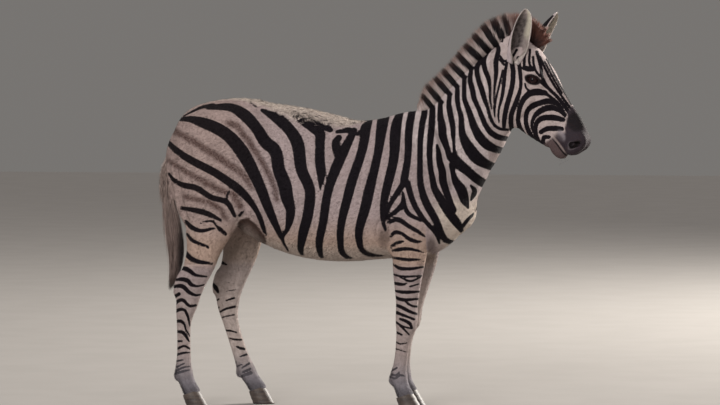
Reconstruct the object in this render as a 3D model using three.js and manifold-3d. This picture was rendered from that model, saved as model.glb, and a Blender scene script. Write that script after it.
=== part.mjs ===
// A life-size standing plains zebra, parted where a person would name its parts.
//
// The body is one smooth field: sweeps with oval sections for trunk, neck, limbs and head, and ovals for muscles
// and bony points, all blended together. The field is zero at the tips of the short coat. Each part is a faceted
// skin of that field, cut from its neighbours by thin planar gaps. Ears, mane, tail and hooves are lofts.
//
// Frame: +X is where the animal faces, +Y its left side, +Z up. The drawing is in centimetres, and the finished
// group is in millimetres with its origin on the floor below the middle of the bounding box.
import * as THREE from "three";
import Module from "manifold-3d";
import { mergeVertices } from "three/addons/utils/BufferGeometryUtils.js";

// Driving dimensions
const MM_PER_CM = 10;
const GAP = 0.05; // between two neighbouring parts
const HAIR_GAP = 0.12; // between the body and the mane or the ears
const HEAD_PITCH = 59.6; // degrees the face line drops below level
const HEAD_YAW = 10; // degrees the head turns to the animal's right
const POLL = [92.5, 0, 159.7]; // origin of the head's own frame
const EYE = { along: 15.3, up: -3.4, out: 7.7, radius: 2.15 };
const EAR_WIDTH = 4.9; // half the width of the open ear

// Colours of the show materials
const COLOURS = {
  coat: 0xb9a690,
  legs: 0xa89c92,
  hair: 0x4a3a34,
  eye: 0x120c0a,
  horn: 0x3b352f,
};

// ---------------------------------------------------------------- vectors

const add = (a, b, k = 1) => [a[0] + b[0] * k, a[1] + b[1] * k, a[2] + b[2] * k];
const sub = (a, b) => add(a, b, -1);
const dot = (a, b) => a[0] * b[0] + a[1] * b[1] + a[2] * b[2];
const cross = (a, b) => [
  a[1] * b[2] - a[2] * b[1],
  a[2] * b[0] - a[0] * b[2],
  a[0] * b[1] - a[1] * b[0],
];
const unit = (a) => add([0, 0, 0], a, 1 / Math.hypot(...a));
const mix = (a, b, t) => a.map((v, i) => v + (b[i] - v) * t);
const clamp = (v, lo, hi) => Math.min(Math.max(v, lo), hi);
const rad = THREE.MathUtils.degToRad;

// ---------------------------------------------------------------- fields

const FAR = 14; // a field stops growing at this distance
const DEEP = 0.2; // a field stops falling this near to its middle, as a share of its size

// Union of two fields, rounded over the distance k where they meet.
function blend(a, b, k) {
  const h = Math.max(k - Math.abs(a - b), 0) / k;
  return Math.min(a, b) - (h * h * k) / 4;
}

// Difference of two fields, rounded over the distance k.
const carve = (a, b, k) => -blend(-a, b, k);

// Rows of a table joined by a smooth curve, with `steps` rows for each one given.
function refine(rows, steps) {
  const out = [];
  const at = (i) => rows[clamp(i, 0, rows.length - 1)];
  for (let i = 0; i < rows.length - 1; i++)
    for (let j = 0; j < steps; j++) {
      const t = j / steps;
      out.push(
        at(i).map((_, c) => {
          const [a, b, d, e] = [at(i - 1)[c], at(i)[c], at(i + 1)[c], at(i + 2)[c]];
          return (
            b +
            0.5 * t * (d - a + t * (2 * a - 5 * b + 4 * d - e + t * (3 * (b - d) + e - a)))
          );
        }),
      );
    }
  out.push(rows[rows.length - 1]);
  return out;
}

// Distance to a solid swept through oval sections. A row is [x, y, z, deep, wide, egg]: the section's centre, its
// half size in the upright plane, its half width across, and how much narrower it is on its outer or upper side.
function sweep(rows, { power = 2, across = [0, 1, 0], steps = 3 } = {}) {
  const full = refine(rows.map((r) => (r.length < 6 ? [...r, 0] : r)), steps);
  const pieces = full.slice(1).map((end, i) => {
    const start = full[i];
    const run = sub(end, start);
    const axis = unit(run);
    const side = unit(add(across, axis, -dot(across, axis)));
    const reach = Math.hypot(...run) / 2 + Math.max(start[3], end[3], start[4] * 1.4, end[4] * 1.4);
    const middle = mix(start.slice(0, 3), end.slice(0, 3), 0.5);
    return { start, end, run, axis, side, up: cross(axis, side), span: dot(run, run), middle, reach };
  });
  return (p) => {
    let best = FAR;
    for (const s of pieces) {
      if (Math.hypot(p[0] - s.middle[0], p[1] - s.middle[1], p[2] - s.middle[2]) - s.reach > best) continue;
      const t = clamp(dot(sub(p, s.start), s.run) / s.span, 0, 1);
      const at = (c) => s.start[c] + (s.end[c] - s.start[c]) * t;
      const r = [p[0] - at(0), p[1] - at(1), p[2] - at(2)];
      const deep = at(3);
      const [u, v, w] = [dot(r, s.up), dot(r, s.side), dot(r, s.axis)];
      const wide = at(4) * (1 - at(5) * clamp(u / deep, -1, 1));
      const cap = Math.min(deep, wide);
      const [qu, qv, qw] = [Math.abs(u / deep), Math.abs(v / wide), Math.abs(w / cap)];
      const q = (qu ** power + qv ** power + qw ** power) ** (1 / power);
      const slope =
        q ** (1 - power) *
        Math.hypot(qu ** (power - 1) / deep, qv ** (power - 1) / wide, qw ** (power - 1) / cap);
      best = Math.min(best, q < DEEP ? -(1 - DEEP) * cap : (q - 1) / slope);
    }
    return best;
  };
}

// Distance to an oval lump. Tilt turns it in the upright plane, from level towards up, in degrees.
function lump(centre, radii, tilt = 0) {
  const [c, s] = [Math.cos(rad(tilt)), Math.sin(rad(tilt))];
  const reach = Math.max(...radii);
  return (p) => {
    const d = [p[0] - centre[0], p[1] - centre[1], p[2] - centre[2]];
    if (Math.hypot(d[0], d[1], d[2]) - reach > FAR) return FAR;
    const [x, z] = [d[0] * c + d[2] * s, d[2] * c - d[0] * s];
    const q = Math.hypot(x / radii[0], d[1] / radii[1], z / radii[2]);
    if (q < DEEP) return -(1 - DEEP) * Math.min(...radii);
    return ((q - 1) * q) / Math.hypot(x / radii[0] ** 2, d[1] / radii[1] ** 2, z / radii[2] ** 2);
  };
}

// The same field on both sides of the midline.
const paired = (field) => (p) => field([p[0], Math.abs(p[1]), p[2]]);

// ---------------------------------------------------------------- head frame

// Points of the head are [along the face, out to the left, up from the face line].
const turn = (x, y) => {
  const [c, s] = [Math.cos(rad(HEAD_YAW)), Math.sin(rad(HEAD_YAW))];
  return [c * x + s * y, -s * x + c * y];
};
const HEAD_AXES = (() => {
  const [c, s] = [Math.cos(rad(HEAD_PITCH)), Math.sin(rad(HEAD_PITCH))];
  return {
    along: [...turn(c, 0), -s],
    out: [...turn(0, 1), 0],
    up: [...turn(s, 0), c],
  };
})();
const inHead = (p) => {
  const d = sub(p, POLL);
  return [dot(d, HEAD_AXES.along), dot(d, HEAD_AXES.out), dot(d, HEAD_AXES.up)];
};
const fromHead = ([a, o, u]) =>
  add(add(add(POLL, HEAD_AXES.along, a), HEAD_AXES.out, o), HEAD_AXES.up, u);

// ---------------------------------------------------------------- body

const TRUNK = [
  [-56, 0, 112.3, 18.6, 12.6, 0.05],
  [-50, 0, 111.2, 22.6, 17.2, 0.08],
  [-42, 0, 112.4, 23.6, 19.8, 0.12],
  [-33, 0, 111.4, 25.1, 20.6, 0.16],
  [-24, 0, 106.3, 29.1, 21.0, 0.18],
  [-13, 0, 101.2, 31.8, 22.6, 0.18],
  [0, 0, 97.6, 32.3, 23.8, 0.18],
  [12, 0, 95.8, 31.3, 23.7, 0.2],
  [24, 0, 96.2, 30.7, 22.0, 0.26],
  [35, 0, 97.4, 31.2, 19.0, 0.34],
  [44, 0, 98.2, 31.0, 16.6, 0.4],
  [53, 0, 97.6, 26.2, 14.0, 0.3],
  [59, 0, 95.6, 19.5, 11.2, 0.1],
];
const NECK = [
  [48, 0, 108, 22.5, 13, 0.3],
  [59, 0, 115.3, 19.8, 11.2, 0.32],
  [67, 0, 125.6, 17.9, 9.4, 0.32],
  [73.4, 0, 135.3, 16, 8.3, 0.3],
  [80, 0, 145.2, 13.2, 7.6, 0.26],
  [86.5, 0, 153.5, 9.6, 6.8, 0.2],
];

// Each limb runs from inside the trunk down to the middle of its hoof.
const LIMBS = {
  fore_right: [
    [42.5, -12.4, 84, 10.5, 6.6],
    [42, -13.2, 76, 9.3, 6.4],
    [42.2, -13.4, 69.5, 7.9, 5.7],
    [41.6, -13.2, 61.6, 6.8, 5.0],
    [41.3, -12.9, 56.3, 6.1, 4.5],
    [41.0, -12.5, 47.5, 5.0, 3.9],
    [40.5, -12.3, 39.6, 4.7, 4.1],
    [40.1, -12.2, 35.2, 4.0, 3.7],
    [39.1, -12.1, 29.9, 3.2, 2.8],
    [38.5, -12.0, 24.6, 3.0, 2.4],
    [37.8, -11.9, 19.4, 3.2, 2.6],
    [37.3, -11.8, 14.6, 3.9, 3.4],
    [38.5, -11.8, 10.4, 3.4, 3.1],
    [40.2, -11.8, 6.6, 3.7, 3.7],
  ],
  fore_left: [
    [42.5, 12.4, 84, 10.5, 6.6],
    [42.8, 13.2, 76, 9.3, 6.4],
    [43.4, 13.4, 69.5, 7.9, 5.7],
    [42.4, 13.2, 61.6, 6.8, 5.0],
    [41.4, 12.9, 56.3, 6.1, 4.5],
    [39.7, 12.5, 47.5, 5.0, 3.9],
    [38.0, 12.3, 39.6, 4.7, 4.1],
    [37.2, 12.2, 35.2, 4.0, 3.7],
    [36.3, 12.1, 29.9, 3.2, 2.8],
    [35.7, 12.0, 24.6, 3.0, 2.4],
    [35.2, 11.9, 19.4, 3.2, 2.6],
    [34.8, 11.8, 14.6, 3.9, 3.4],
    [36.1, 11.8, 10.4, 3.4, 3.1],
    [37.8, 11.8, 6.6, 3.7, 3.7],
  ],
  hind_right: [
    [-47, -10.5, 106, 17, 9.6],
    [-46.2, -11.8, 94, 16, 9.2],
    [-46.2, -12.8, 85, 13.0, 8.2],
    [-47.9, -13.2, 77, 10.1, 7.0],
    [-49.5, -13.2, 70, 7.9, 5.9],
    [-51.2, -12.9, 64.2, 7.2, 5.0],
    [-54.2, -12.5, 57, 6.3, 4.2],
    [-56.3, -12.3, 51.5, 5.8, 3.9],
    [-57.2, -12.2, 46.6, 5.1, 3.9],
    [-58.2, -12.2, 42, 4.1, 3.5],
    [-58.8, -12.2, 36.5, 3.2, 2.8],
    [-58.8, -12.2, 29.9, 3.0, 2.5],
    [-58.8, -12.2, 23.3, 3.15, 2.5],
    [-58.9, -12.2, 18.9, 3.5, 2.9],
    [-58.7, -12.2, 15.2, 3.9, 3.4],
    [-57.2, -12.2, 11, 3.4, 3.1],
    [-55.2, -12.2, 6.8, 3.7, 3.6],
  ],
  hind_left: [
    [-47, 10.5, 106, 17, 9.6],
    [-43.5, 11.8, 94, 15.6, 9.2],
    [-40.2, 12.8, 85, 13.4, 8.2],
    [-38.4, 13.2, 77, 10.9, 7.0],
    [-38.2, 13.2, 70, 8.7, 5.9],
    [-39.3, 12.9, 64.2, 7.6, 5.0],
    [-41.8, 12.6, 57, 6.7, 4.2],
    [-43.5, 12.4, 51.3, 6.1, 3.9],
    [-44, 12.3, 46.6, 5.4, 3.9],
    [-43.8, 12.3, 42, 4.5, 3.5],
    [-42.9, 12.3, 37, 3.6, 2.8],
    [-41.4, 12.3, 31.5, 3.3, 2.5],
    [-39, 12.3, 24, 3.3, 2.5],
    [-37.2, 12.3, 18.9, 3.6, 2.9],
    [-35.7, 12.3, 15.2, 4.0, 3.4],
    [-33.2, 12.3, 11, 3.5, 3.1],
    [-30.4, 12.3, 6.8, 3.7, 3.6],
  ],
};

// Muscles and bony points: [centre, radii, tilt, blend distance].
const PAIRED_LUMPS = [
  [[45, 12.5, 103], [9, 5.5, 22], -14, 6], // shoulder blade
  [[53.5, 10.5, 88], [10.5, 6, 8.5], 30, 5], // upper arm and point of the shoulder
  [[37, 13.5, 80], [8.5, 5.2, 9.5], 60, 5], // triceps down to the elbow
  [[60, 4.6, 86.6], [7.8, 6.2, 8.8], 70, 5], // breast
  [[-45, 12, 116], [16, 8, 13.5], 25, 6], // rump
  [[-51.5, 11, 99], [19, 8.5, 10.5], 76, 6], // buttock
  [[-35, 15, 91], [8, 5.5, 8], 60, 5], // stifle
  [[-27, 13, 122], [5, 4.5, 4.5], 0, 6], // point of the hip
];
const POINTS = [
  [[-61.0, -12.3, 54.6], [2.0, 1.7, 5.4], -16, 3], // point of each hock
  [[-48.9, 12.3, 54.2], [2.0, 1.7, 5.4], -12, 3],
  [[43.6, -12.3, 39.2], [1.7, 2.9, 4.2], 0, 2], // front of each knee
  [[41.1, 12.3, 39.2], [1.7, 2.9, 4.2], 0, 2],
  [[34.4, -11.8, 13.2], [1.5, 1.6, 2.0], 0, 1.5], // tuft behind each fetlock
  [[31.9, 11.8, 13.2], [1.5, 1.6, 2.0], 0, 1.5],
  [[-61.6, -12.2, 13.8], [1.5, 1.6, 2.0], 0, 1.5],
  [[-38.6, 12.3, 13.6], [1.5, 1.6, 2.0], 0, 1.5],
];

// ---------------------------------------------------------------- head, in its own frame

// The first table is [along, out, up, deep, wide, egg] from the poll to the lips.
const SKULL = [
  [-3, 0, -5.5, 6, 5.6, 0.1],
  [3, 0, -4.6, 7.6, 7.2, 0.1],
  [9, 0, -4.6, 8.8, 8.2, 0.12],
  [15, 0, -4.6, 9.4, 8.2, 0.16],
  [21, 0, -4.8, 9.4, 7.2, 0.26],
  [27, 0, -4.6, 8.9, 6.0, 0.34],
  [33, 0, -4.0, 8.4, 5.2, 0.3],
  [39, 0, -3.0, 7.9, 4.9, 0.18],
  [43.5, 0, -2.6, 7.4, 5.3, 0.08],
  [46.8, 0, -2.7, 6.4, 5.1, 0.02],
];
const JAW = [
  [5, 0, -11, 5.5, 5.2, 0],
  [12, 0, -15, 8, 6.6, -0.05],
  [19, 0, -16.6, 8.4, 6.8, -0.05],
  [26, 0, -15.6, 7.4, 5.7, 0.05],
  [33, 0, -13.6, 6.2, 4.4, 0.1],
  [40, 0, -11.3, 4.8, 3.7, 0.1],
  [44.5, 0, -10.4, 3.7, 3.6, 0],
];
const HEAD_LUMPS = [
  [[14.8, 7.0, -2.0], [4.4, 2.3, 3.2], 0, 2.5], // brow and socket
  [[24, 5.6, -6.2], [9, 1.7, 1.9], 4, 2], // cheek ridge
  [[16.5, 5.2, -16], [8.4, 2.9, 8], 0, 3], // cheek muscle
  [[47.7, 3.4, -1.6], [4.4, 2.6, 5.0], 0, 2], // nostril wing
  [[49.2, 1.6, -4.8], [3.0, 3.6, 3.4], 0, 1.6], // upper lip
  [[46.8, 0.9, -10.8], [4.2, 3.0, 3.0], 8, 1.4], // lower lip and chin
];
const NOSTRIL = [[48.7, 5.4, -1.8], [1.4, 1.5, 2.5]];

const skull = sweep(SKULL, { power: 2.3 });
const jaw = sweep(JAW, { power: 2.2 });
const headLumps = HEAD_LUMPS.map(([c, r, tilt, k]) => [lump(c, r, tilt), k]);
const nostril = lump(...NOSTRIL, -20);

function headField(p) {
  const h = inHead(p);
  const q = [h[0], Math.abs(h[1]), h[2]];
  let d = blend(skull(q), jaw(q), 3);
  for (const [field, k] of headLumps) d = blend(d, field(q), k);
  return carve(d, nostril(q), 0.8);
}

const trunk = sweep(TRUNK, { power: 2.1 });
const neck = sweep(NECK, { power: 2.1 });
const pairedLumps = PAIRED_LUMPS.map(([c, r, tilt, k]) => [paired(lump(c, r, tilt)), k]);
const points = POINTS.map(([c, r, tilt, k]) => [lump(c, r, tilt), k]);
const limbs = Object.values(LIMBS).map((rows) => sweep(rows, { power: 2.2 }));

function bodyField(p) {
  let d = blend(trunk(p), neck(p), 7);
  for (const [field, k] of pairedLumps) d = blend(d, field(p), k);
  for (const limb of limbs) d = blend(d, limb(p), 3.5);
  for (const [field, k] of points) d = blend(d, field(p), k);
  return blend(d, headField(p), 3.5);
}

// ---------------------------------------------------------------- solids

const wasm = await Module();
wasm.setup();

// A manifold solid from a closed geometry.
function solid(geometry) {
  const bare = new THREE.BufferGeometry();
  bare.setAttribute("position", geometry.getAttribute("position"));
  if (geometry.index) bare.setIndex(geometry.index);
  const merged = mergeVertices(bare, 1e-4);
  return new wasm.Manifold(
    new wasm.Mesh({
      numProp: 3,
      vertProperties: new Float32Array(merged.attributes.position.array),
      triVerts: new Uint32Array(merged.index.array),
    }),
  );
}

function geometryOf(made) {
  const { numProp, numVert, vertProperties, triVerts } = made.getMesh();
  const places = new Float32Array(numVert * 3);
  for (let i = 0; i < numVert; i++)
    places.set(vertProperties.subarray(i * numProp, i * numProp + 3), i * 3);
  const geometry = new THREE.BufferGeometry();
  geometry.setAttribute("position", new THREE.BufferAttribute(places, 3));
  geometry.setIndex(new THREE.BufferAttribute(triVerts, 1));
  geometry.computeVertexNormals();
  return geometry;
}

function closed(vertices, triangles) {
  const geometry = new THREE.BufferGeometry();
  geometry.setAttribute("position", new THREE.Float32BufferAttribute(vertices.flat(), 3));
  geometry.setIndex(triangles.flat());
  return solid(geometry);
}

// The field's slope at a point.
function slopeAt(field, p) {
  const e = 0.05;
  return [0, 1, 2].map((i) => {
    const [a, b] = [[...p], [...p]];
    a[i] += e;
    b[i] -= e;
    return (field(a) - field(b)) / (2 * e);
  });
}

// A grid cell has twelve edges: four along each axis, told apart by their place on the next two axes.
const edgeNumber = (axis, next, last) => axis * 4 + next * 2 + last;
const CELL_EDGES = [0, 1, 2].flatMap((axis) =>
  [0, 1, 2, 3].map((n) => {
    const start = [0, 0, 0];
    start[(axis + 1) % 3] = n >> 1;
    start[(axis + 2) % 3] = n & 1;
    const end = start.map((v, i) => (i === axis ? 1 : v));
    return [start, end];
  }),
);
// Its six faces, each as four corners in turn and the edges between them.
const CELL_FACES = [0, 1, 2].flatMap((axis) =>
  [0, 1].map((place) => {
    const [u, w] = [(axis + 1) % 3, (axis + 2) % 3];
    const corner = (a, b) => [0, 1, 2].map((i) => (i === axis ? place : i === u ? a : b));
    return {
      corners: [corner(0, 0), corner(1, 0), corner(1, 1), corner(0, 1)],
      edges: [edgeNumber(u, 0, place), edgeNumber(w, place, 1), edgeNumber(u, 1, place), edgeNumber(w, place, 0)],
    };
  }),
);

// The crossed edges of a cell, grouped by the sheet of surface that crosses them.
function sheetsOf(value) {
  const inside = (c) => value(c) < 0;
  const crossed = CELL_EDGES.map(([a, b]) => inside(a) !== inside(b));
  const group = crossed.map((_, i) => i);
  const join = (a, b) => {
    const [from, to] = [group[a], group[b]];
    group.forEach((g, i) => g === from && (group[i] = to));
  };
  for (const { corners, edges } of CELL_FACES) {
    const cut = edges.filter((e) => crossed[e]);
    if (cut.length === 2) join(cut[0], cut[1]);
    if (cut.length === 4) corners.forEach((c, i) => inside(c) && join(edges[(i + 3) % 4], edges[i]));
  }
  return [...new Set(group)]
    .map((g) => group.map((h, i) => (h === g ? i : -1)).filter((i) => i >= 0 && crossed[i]))
    .filter((sheet) => sheet.length);
}

// Faceted skin of a field at one level: a vertex for each sheet of surface in each grid cell, and a square around
// each grid edge that the surface crosses. The vertices are then moved onto the surface itself.
function skinOf(field, low, high, cell, level = 0) {
  const n = low.map((v, i) => Math.ceil((high[i] - v) / cell[i]) + 1);
  const at = ([i, j, k]) => (i * n[1] + j) * n[2] + k;
  const place = (ijk) => ijk.map((v, i) => low[i] + v * cell[i]);
  const values = new Float32Array(n[0] * n[1] * n[2]);
  const each = (less, work) => {
    for (let i = 0; i < n[0] - less; i++)
      for (let j = 0; j < n[1] - less; j++) for (let k = 0; k < n[2] - less; k++) work([i, j, k]);
  };
  each(0, (c) => {
    const rim = c.some((v, i) => v === 0 || v === n[i] - 1);
    values[at(c)] = rim ? FAR : field(place(c)) - level;
  });
  const vertices = [];
  const owner = new Map();
  each(1, (c) => {
    const value = (corner) => values[at(add(c, corner))];
    const signs = CELL_EDGES.some(([a, b]) => value(a) < 0 !== value(b) < 0);
    if (!signs) return;
    for (const sheet of sheetsOf(value)) {
      const crossings = sheet.map((e) => {
        const [a, b] = CELL_EDGES[e];
        return mix(a, b, value(a) / (value(a) - value(b)));
      });
      const mean = crossings.reduce((sum, x) => add(sum, x, 1 / crossings.length), [0, 0, 0]);
      const open = c.some((v, i) => v < 1 || v > n[i] - 3);
      for (const e of sheet) owner.set(at(c) * 12 + e, vertices.length);
      vertices.push(open ? place(add(c, mean)) : settle(field, place(add(c, mean)), level, 0.5 * Math.min(...cell)));
    }
  });
  const triangles = [];
  for (let axis = 0; axis < 3; axis++) {
    const back = (c, u, w) => {
      const r = [...c];
      r[(axis + 1) % 3] -= u;
      r[(axis + 2) % 3] -= w;
      return owner.get(at(r) * 12 + edgeNumber(axis, u, w));
    };
    each(1, (c) => {
      if (c.some((v, i) => i !== axis && v === 0)) return;
      const next = c.map((v, i) => (i === axis ? v + 1 : v));
      const inside = values[at(c)] < 0;
      if (inside === values[at(next)] < 0) return;
      const [p, q, r, s] = [back(c, 0, 0), back(c, 1, 0), back(c, 1, 1), back(c, 0, 1)];
      if (inside) triangles.push([p, q, r], [p, r, s]);
      else triangles.push([p, r, q], [p, s, r]);
    });
  }
  return closed(vertices, triangles);
}

// Moves a point onto the field's surface, at most `most` at a time.
function settle(field, start, level, most) {
  let p = start;
  for (let round = 0; round < 3; round++) {
    const slope = slopeAt(field, p);
    const step = (field(p) - level) / Math.max(dot(slope, slope), 0.2);
    p = add(p, slope, -clamp(step, -most, most));
  }
  return p;
}

// Everything on the side of a plane that its normal points to, as a big block.
function halfSpace(point, normal) {
  const size = 600;
  const block = new THREE.BoxGeometry(size, size, size);
  const z = unit(normal);
  const facing = new THREE.Quaternion().setFromUnitVectors(
    new THREE.Vector3(0, 0, 1),
    new THREE.Vector3(...z),
  );
  block.applyQuaternion(facing);
  block.translate(...add(point, z, size / 2));
  return solid(block);
}

// Keeps what lies beyond the plane on the side that its normal points to.
const keep = (made, { point, normal }) =>
  made.intersect(halfSpace(add(point, unit(normal), GAP / 2), normal));
const other = ({ point, normal }) => ({ point, normal: add([0, 0, 0], normal, -1) });

// ---------------------------------------------------------------- where the parts meet

const CUTS = {
  neck: { point: [57, 0, 108], normal: [0.74, 0, 0.67] },
  head: { point: [80.6, 0, 140], normal: [1, 0, 0.07] },
};
// A limb leaves the trunk below a plane that rises outwards from the midline; its joints are cut level.
const LIMB_CUTS = {
  fore_right: { top: [42, 4, 64], rise: [0.1, 0.95], from: [33, 62], joints: [44.3, 17.6] },
  fore_left: { top: [42, 4, 64], rise: [0.1, 0.95], from: [33, 62], joints: [44.3, 17.6] },
  hind_right: { top: [-44, 9, 78], rise: [-0.45, 0.95], from: [-75, -22], joints: [59.5, 18.4] },
  hind_left: { top: [-44, 9, 78], rise: [-0.45, 0.95], from: [-75, -22], joints: [59.5, 18.4] },
};
const CORONET = { height: 6.6, fall: 0.32 }; // the hoof's upper edge drops towards the heel

const coronetPlane = (rows) => ({
  point: [rows[rows.length - 1][0], 0, CORONET.height],
  normal: [-CORONET.fall, 0, 1],
});

// The space below a limb's top plane, on its own side of the midline.
function limbSpace(name, inset) {
  const { top, rise, from } = LIMB_CUTS[name];
  const side = name.endsWith("right") ? -1 : 1;
  const [length, width, height] = [from[1] - from[0] - 2 * inset, 60, 200];
  const block = new THREE.BoxGeometry(length, width, height);
  block.translate((from[0] + from[1]) / 2, side * (width / 2 + inset), 0);
  const point = [top[0], side * top[1], top[2]];
  const normal = unit([rise[0], side * rise[1], -1]);
  return solid(block).intersect(halfSpace(add(point, normal, inset), normal));
}

// ---------------------------------------------------------------- lofts

// Solid through closed rings of equal size. Its ends are fans, or strips between the two halves of each ring.
function loft(rings, { strips = false } = {}) {
  const n = rings[0].length;
  const vertices = rings.flat();
  const triangles = [];
  for (let r = 0; r < rings.length - 1; r++)
    for (let i = 0; i < n; i++) {
      const [a, b] = [r * n + i, r * n + ((i + 1) % n)];
      triangles.push([a, b, b + n], [a, b + n, a + n]);
    }
  const last = (rings.length - 1) * n;
  const close = (a, b, c) => triangles.push([a, c, b], [last + a, last + b, last + c]);
  if (strips)
    for (let i = 0; i < n / 2 - 1; i++) {
      close(i, i + 1, n - 2 - i);
      close(i, n - 2 - i, n - 1 - i);
    }
  else for (let i = 1; i < n - 1; i++) close(0, i, i + 1);
  const made = closed(vertices, triangles);
  return made.volume() > 0 ? made : closed(vertices, triangles.map(([a, b, c]) => [a, c, b]));
}

// A tube with oval sections: a row is [x, y, z, half size in the upright plane, half width].
function tube(rows, sides) {
  const full = refine(rows, 2);
  const rings = full.map((row, i) => {
    const ahead = full[Math.min(i + 1, full.length - 1)];
    const up = cross(unit(sub(ahead, full[Math.max(i - 1, 0)])), [0, 1, 0]);
    return Array.from({ length: sides }, (_, j) => {
      const angle = (j / sides) * 2 * Math.PI;
      return add(add(row, up, Math.cos(angle) * row[3]), [0, 1, 0], Math.sin(angle) * row[4]);
    });
  });
  return loft(rings);
}

// A hoof: horn that leans back from its sole to the coronet.
const HOOF = { lean: 0.46, heel: 0.86, ahead: 2.4, top: [4.1, 3.6] };
const SOLES = { fore: [5.4, 4.4], hind: [5.2, 4.0] };

function hoof(rows, sole) {
  const foot = rows[rows.length - 1];
  const [sides, steps] = [16, 2];
  const rings = Array.from({ length: steps + 1 }, (_, i) => {
    const level = (i / steps) * (CORONET.height + 3);
    const [length, width] = mix(sole, HOOF.top, i / steps);
    return Array.from({ length: sides }, (_, j) => {
      const angle = (j / sides) * 2 * Math.PI;
      const reach = Math.cos(angle) * length * (Math.cos(angle) < 0 ? HOOF.heel : 1);
      return [foot[0] + HOOF.ahead - HOOF.lean * level + reach, foot[1] + Math.sin(angle) * width, level];
    });
  });
  return keep(loft(rings), other(coronetPlane(rows)));
}

// An ear: a leaf rolled into a cup, solid at its root.
const EAR = { thick: 0.6, widest: 0.42, root: 0.6, roll: [150, 62], hollow: 0.22 };

function ear({ base, tip, facing }) {
  const length = Math.hypot(...sub(tip, base));
  const axis = unit(sub(tip, base));
  const front = unit(add(facing, axis, -dot(facing, axis)));
  const across = cross(front, axis);
  const [stations, arcs] = [7, 5];
  const rings = Array.from({ length: stations + 1 }, (_, i) => {
    const t = i / stations;
    const grow = Math.sin((Math.PI / 2) * Math.min(t / EAR.widest, 1));
    const fade = Math.sqrt(1 - 0.99 * clamp((t - EAR.widest) / (1 - EAR.widest), 0, 1) ** 2.6);
    const width = EAR_WIDTH * (EAR.root + (1 - EAR.root) * grow) * fade;
    const roll = rad(EAR.roll[0] + (EAR.roll[1] - EAR.roll[0]) * Math.sqrt(t));
    const radius = width / Math.sin(Math.min(roll, Math.PI / 2));
    const back = add(add(base, axis, t * length), front, -1.6 * Math.sin(Math.PI * t));
    const wall = (r) =>
      Array.from({ length: arcs + 1 }, (_, j) => {
        const angle = (j / arcs - 0.5) * 2 * roll;
        return add(add(back, across, Math.sin(angle) * r), front, radius - Math.cos(angle) * r);
      });
    const depth = clamp(t / EAR.hollow, 0, 1);
    const inner = mix([0.15 * radius], [Math.max(radius - EAR.thick, radius * 0.5)], depth)[0];
    return [...wall(radius), ...wall(inner).reverse()];
  });
  return loft(rings, { strips: true });
}

const EARS = {
  right: { base: [85.4, -6.2, 153], tip: [92.8, -10.6, 175.8], facing: [0.62, -0.78, 0.1] },
  left: { base: [90.4, 6.6, 155.5], tip: [103.4, 10.8, 174.4], facing: [0.72, -0.3, -0.62] },
};

// The mane stands on the crest from withers to forelock. A row is [x, z] near the crest, then [x, z] at the tips.
const MANE = [
  [44, 129, 44.6, 133.5],
  [46.5, 130, 46.2, 139],
  [50.5, 132, 49.5, 144.6],
  [55, 135, 53.5, 149],
  [59.5, 139, 58.4, 153],
  [64, 143.5, 62.6, 158],
  [68.5, 149, 67, 163],
  [73.5, 154.5, 72.2, 168.6],
  [79, 159, 78, 172.6],
  [85, 161.5, 85.5, 174],
  [90, 161, 92.3, 173],
  [94.5, 158.5, 97.8, 169.2],
  [97, 155.5, 101.3, 163.3],
];
const MANE_HALF = { root: 2.3, tip: 1.1, ends: 0.5 };

function mane() {
  const rings = MANE.map(([x0, z0, x1, z1], i) => {
    const thin = i === 0 || i === MANE.length - 1 ? MANE_HALF.ends : 1;
    const pair = (share, half) => {
      const [x, z] = mix([x0, z0], [x1, z1], share);
      return [[x, -half * thin, z], [x, half * thin, z]];
    };
    const [a, b] = pair(-0.3, MANE_HALF.root);
    const [c, d] = pair(0.55, MANE_HALF.root);
    const [e, f] = pair(1, MANE_HALF.tip);
    return [a, c, e, f, d, b];
  });
  return loft(rings);
}

// The tail: a fleshy dock, then a switch of long hair. A row is [x, y, z, fore and aft, across].
const DOCK = [
  [-58.5, 0, 122, 2.4, 2.5],
  [-63, 0, 119.5, 2.6, 2.7],
  [-66.2, 0, 114.5, 2.5, 2.6],
  [-67.4, 0, 107, 2.3, 2.4],
  [-67.3, 0, 100, 2.1, 2.3],
  [-66.9, 0, 92, 2.0, 2.2],
];
const SWITCH = [
  [-66.9, 0, 92, 2.0, 2.2],
  [-65.8, 0, 85, 3.0, 2.8],
  [-64.4, 0, 76, 3.6, 3.1],
  [-63.4, 0, 67, 3.3, 2.8],
  [-64.1, 0, 59, 2.2, 2.0],
  [-66.8, 0, 52, 0.5, 0.5],
];

// ---------------------------------------------------------------- skins of the body

const BODY_GRIDS = {
  trunk: { low: [-78, -36, 58], high: [78, 36, 142], cell: [8.5, 6.2, 6.1] },
  neck: { low: [30, -24, 76], high: [104, 24, 174], cell: [4.8, 3.8, 4.8] },
  head: { low: [70, -26, 96], high: [130, 20, 172], cell: [3.0, 2.8, 3.1] },
};
const LIMB_GRIDS = {
  fore: { upper: [4.0, 3.5, 5.2], lower: [2.3, 2.2, 4.6], foot: [2.5, 2.5, 2.9] },
  hind: { upper: [4.9, 4.2, 5.6], lower: [2.6, 2.4, 4.9], foot: [2.5, 2.5, 2.9] },
};

const bodySkin = (name, level = 0) => {
  const { low, high, cell } = BODY_GRIDS[name];
  return skinOf(bodyField, low, high, cell, level);
};

const eyeCentre = (side) => fromHead([EYE.along, side * EYE.out, EYE.up]);
const eyeBall = (side, radius) => solid(new THREE.SphereGeometry(radius, 10, 7).translate(...eyeCentre(side)));

// ---------------------------------------------------------------- assembly

const zebra = new THREE.Group();

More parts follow.
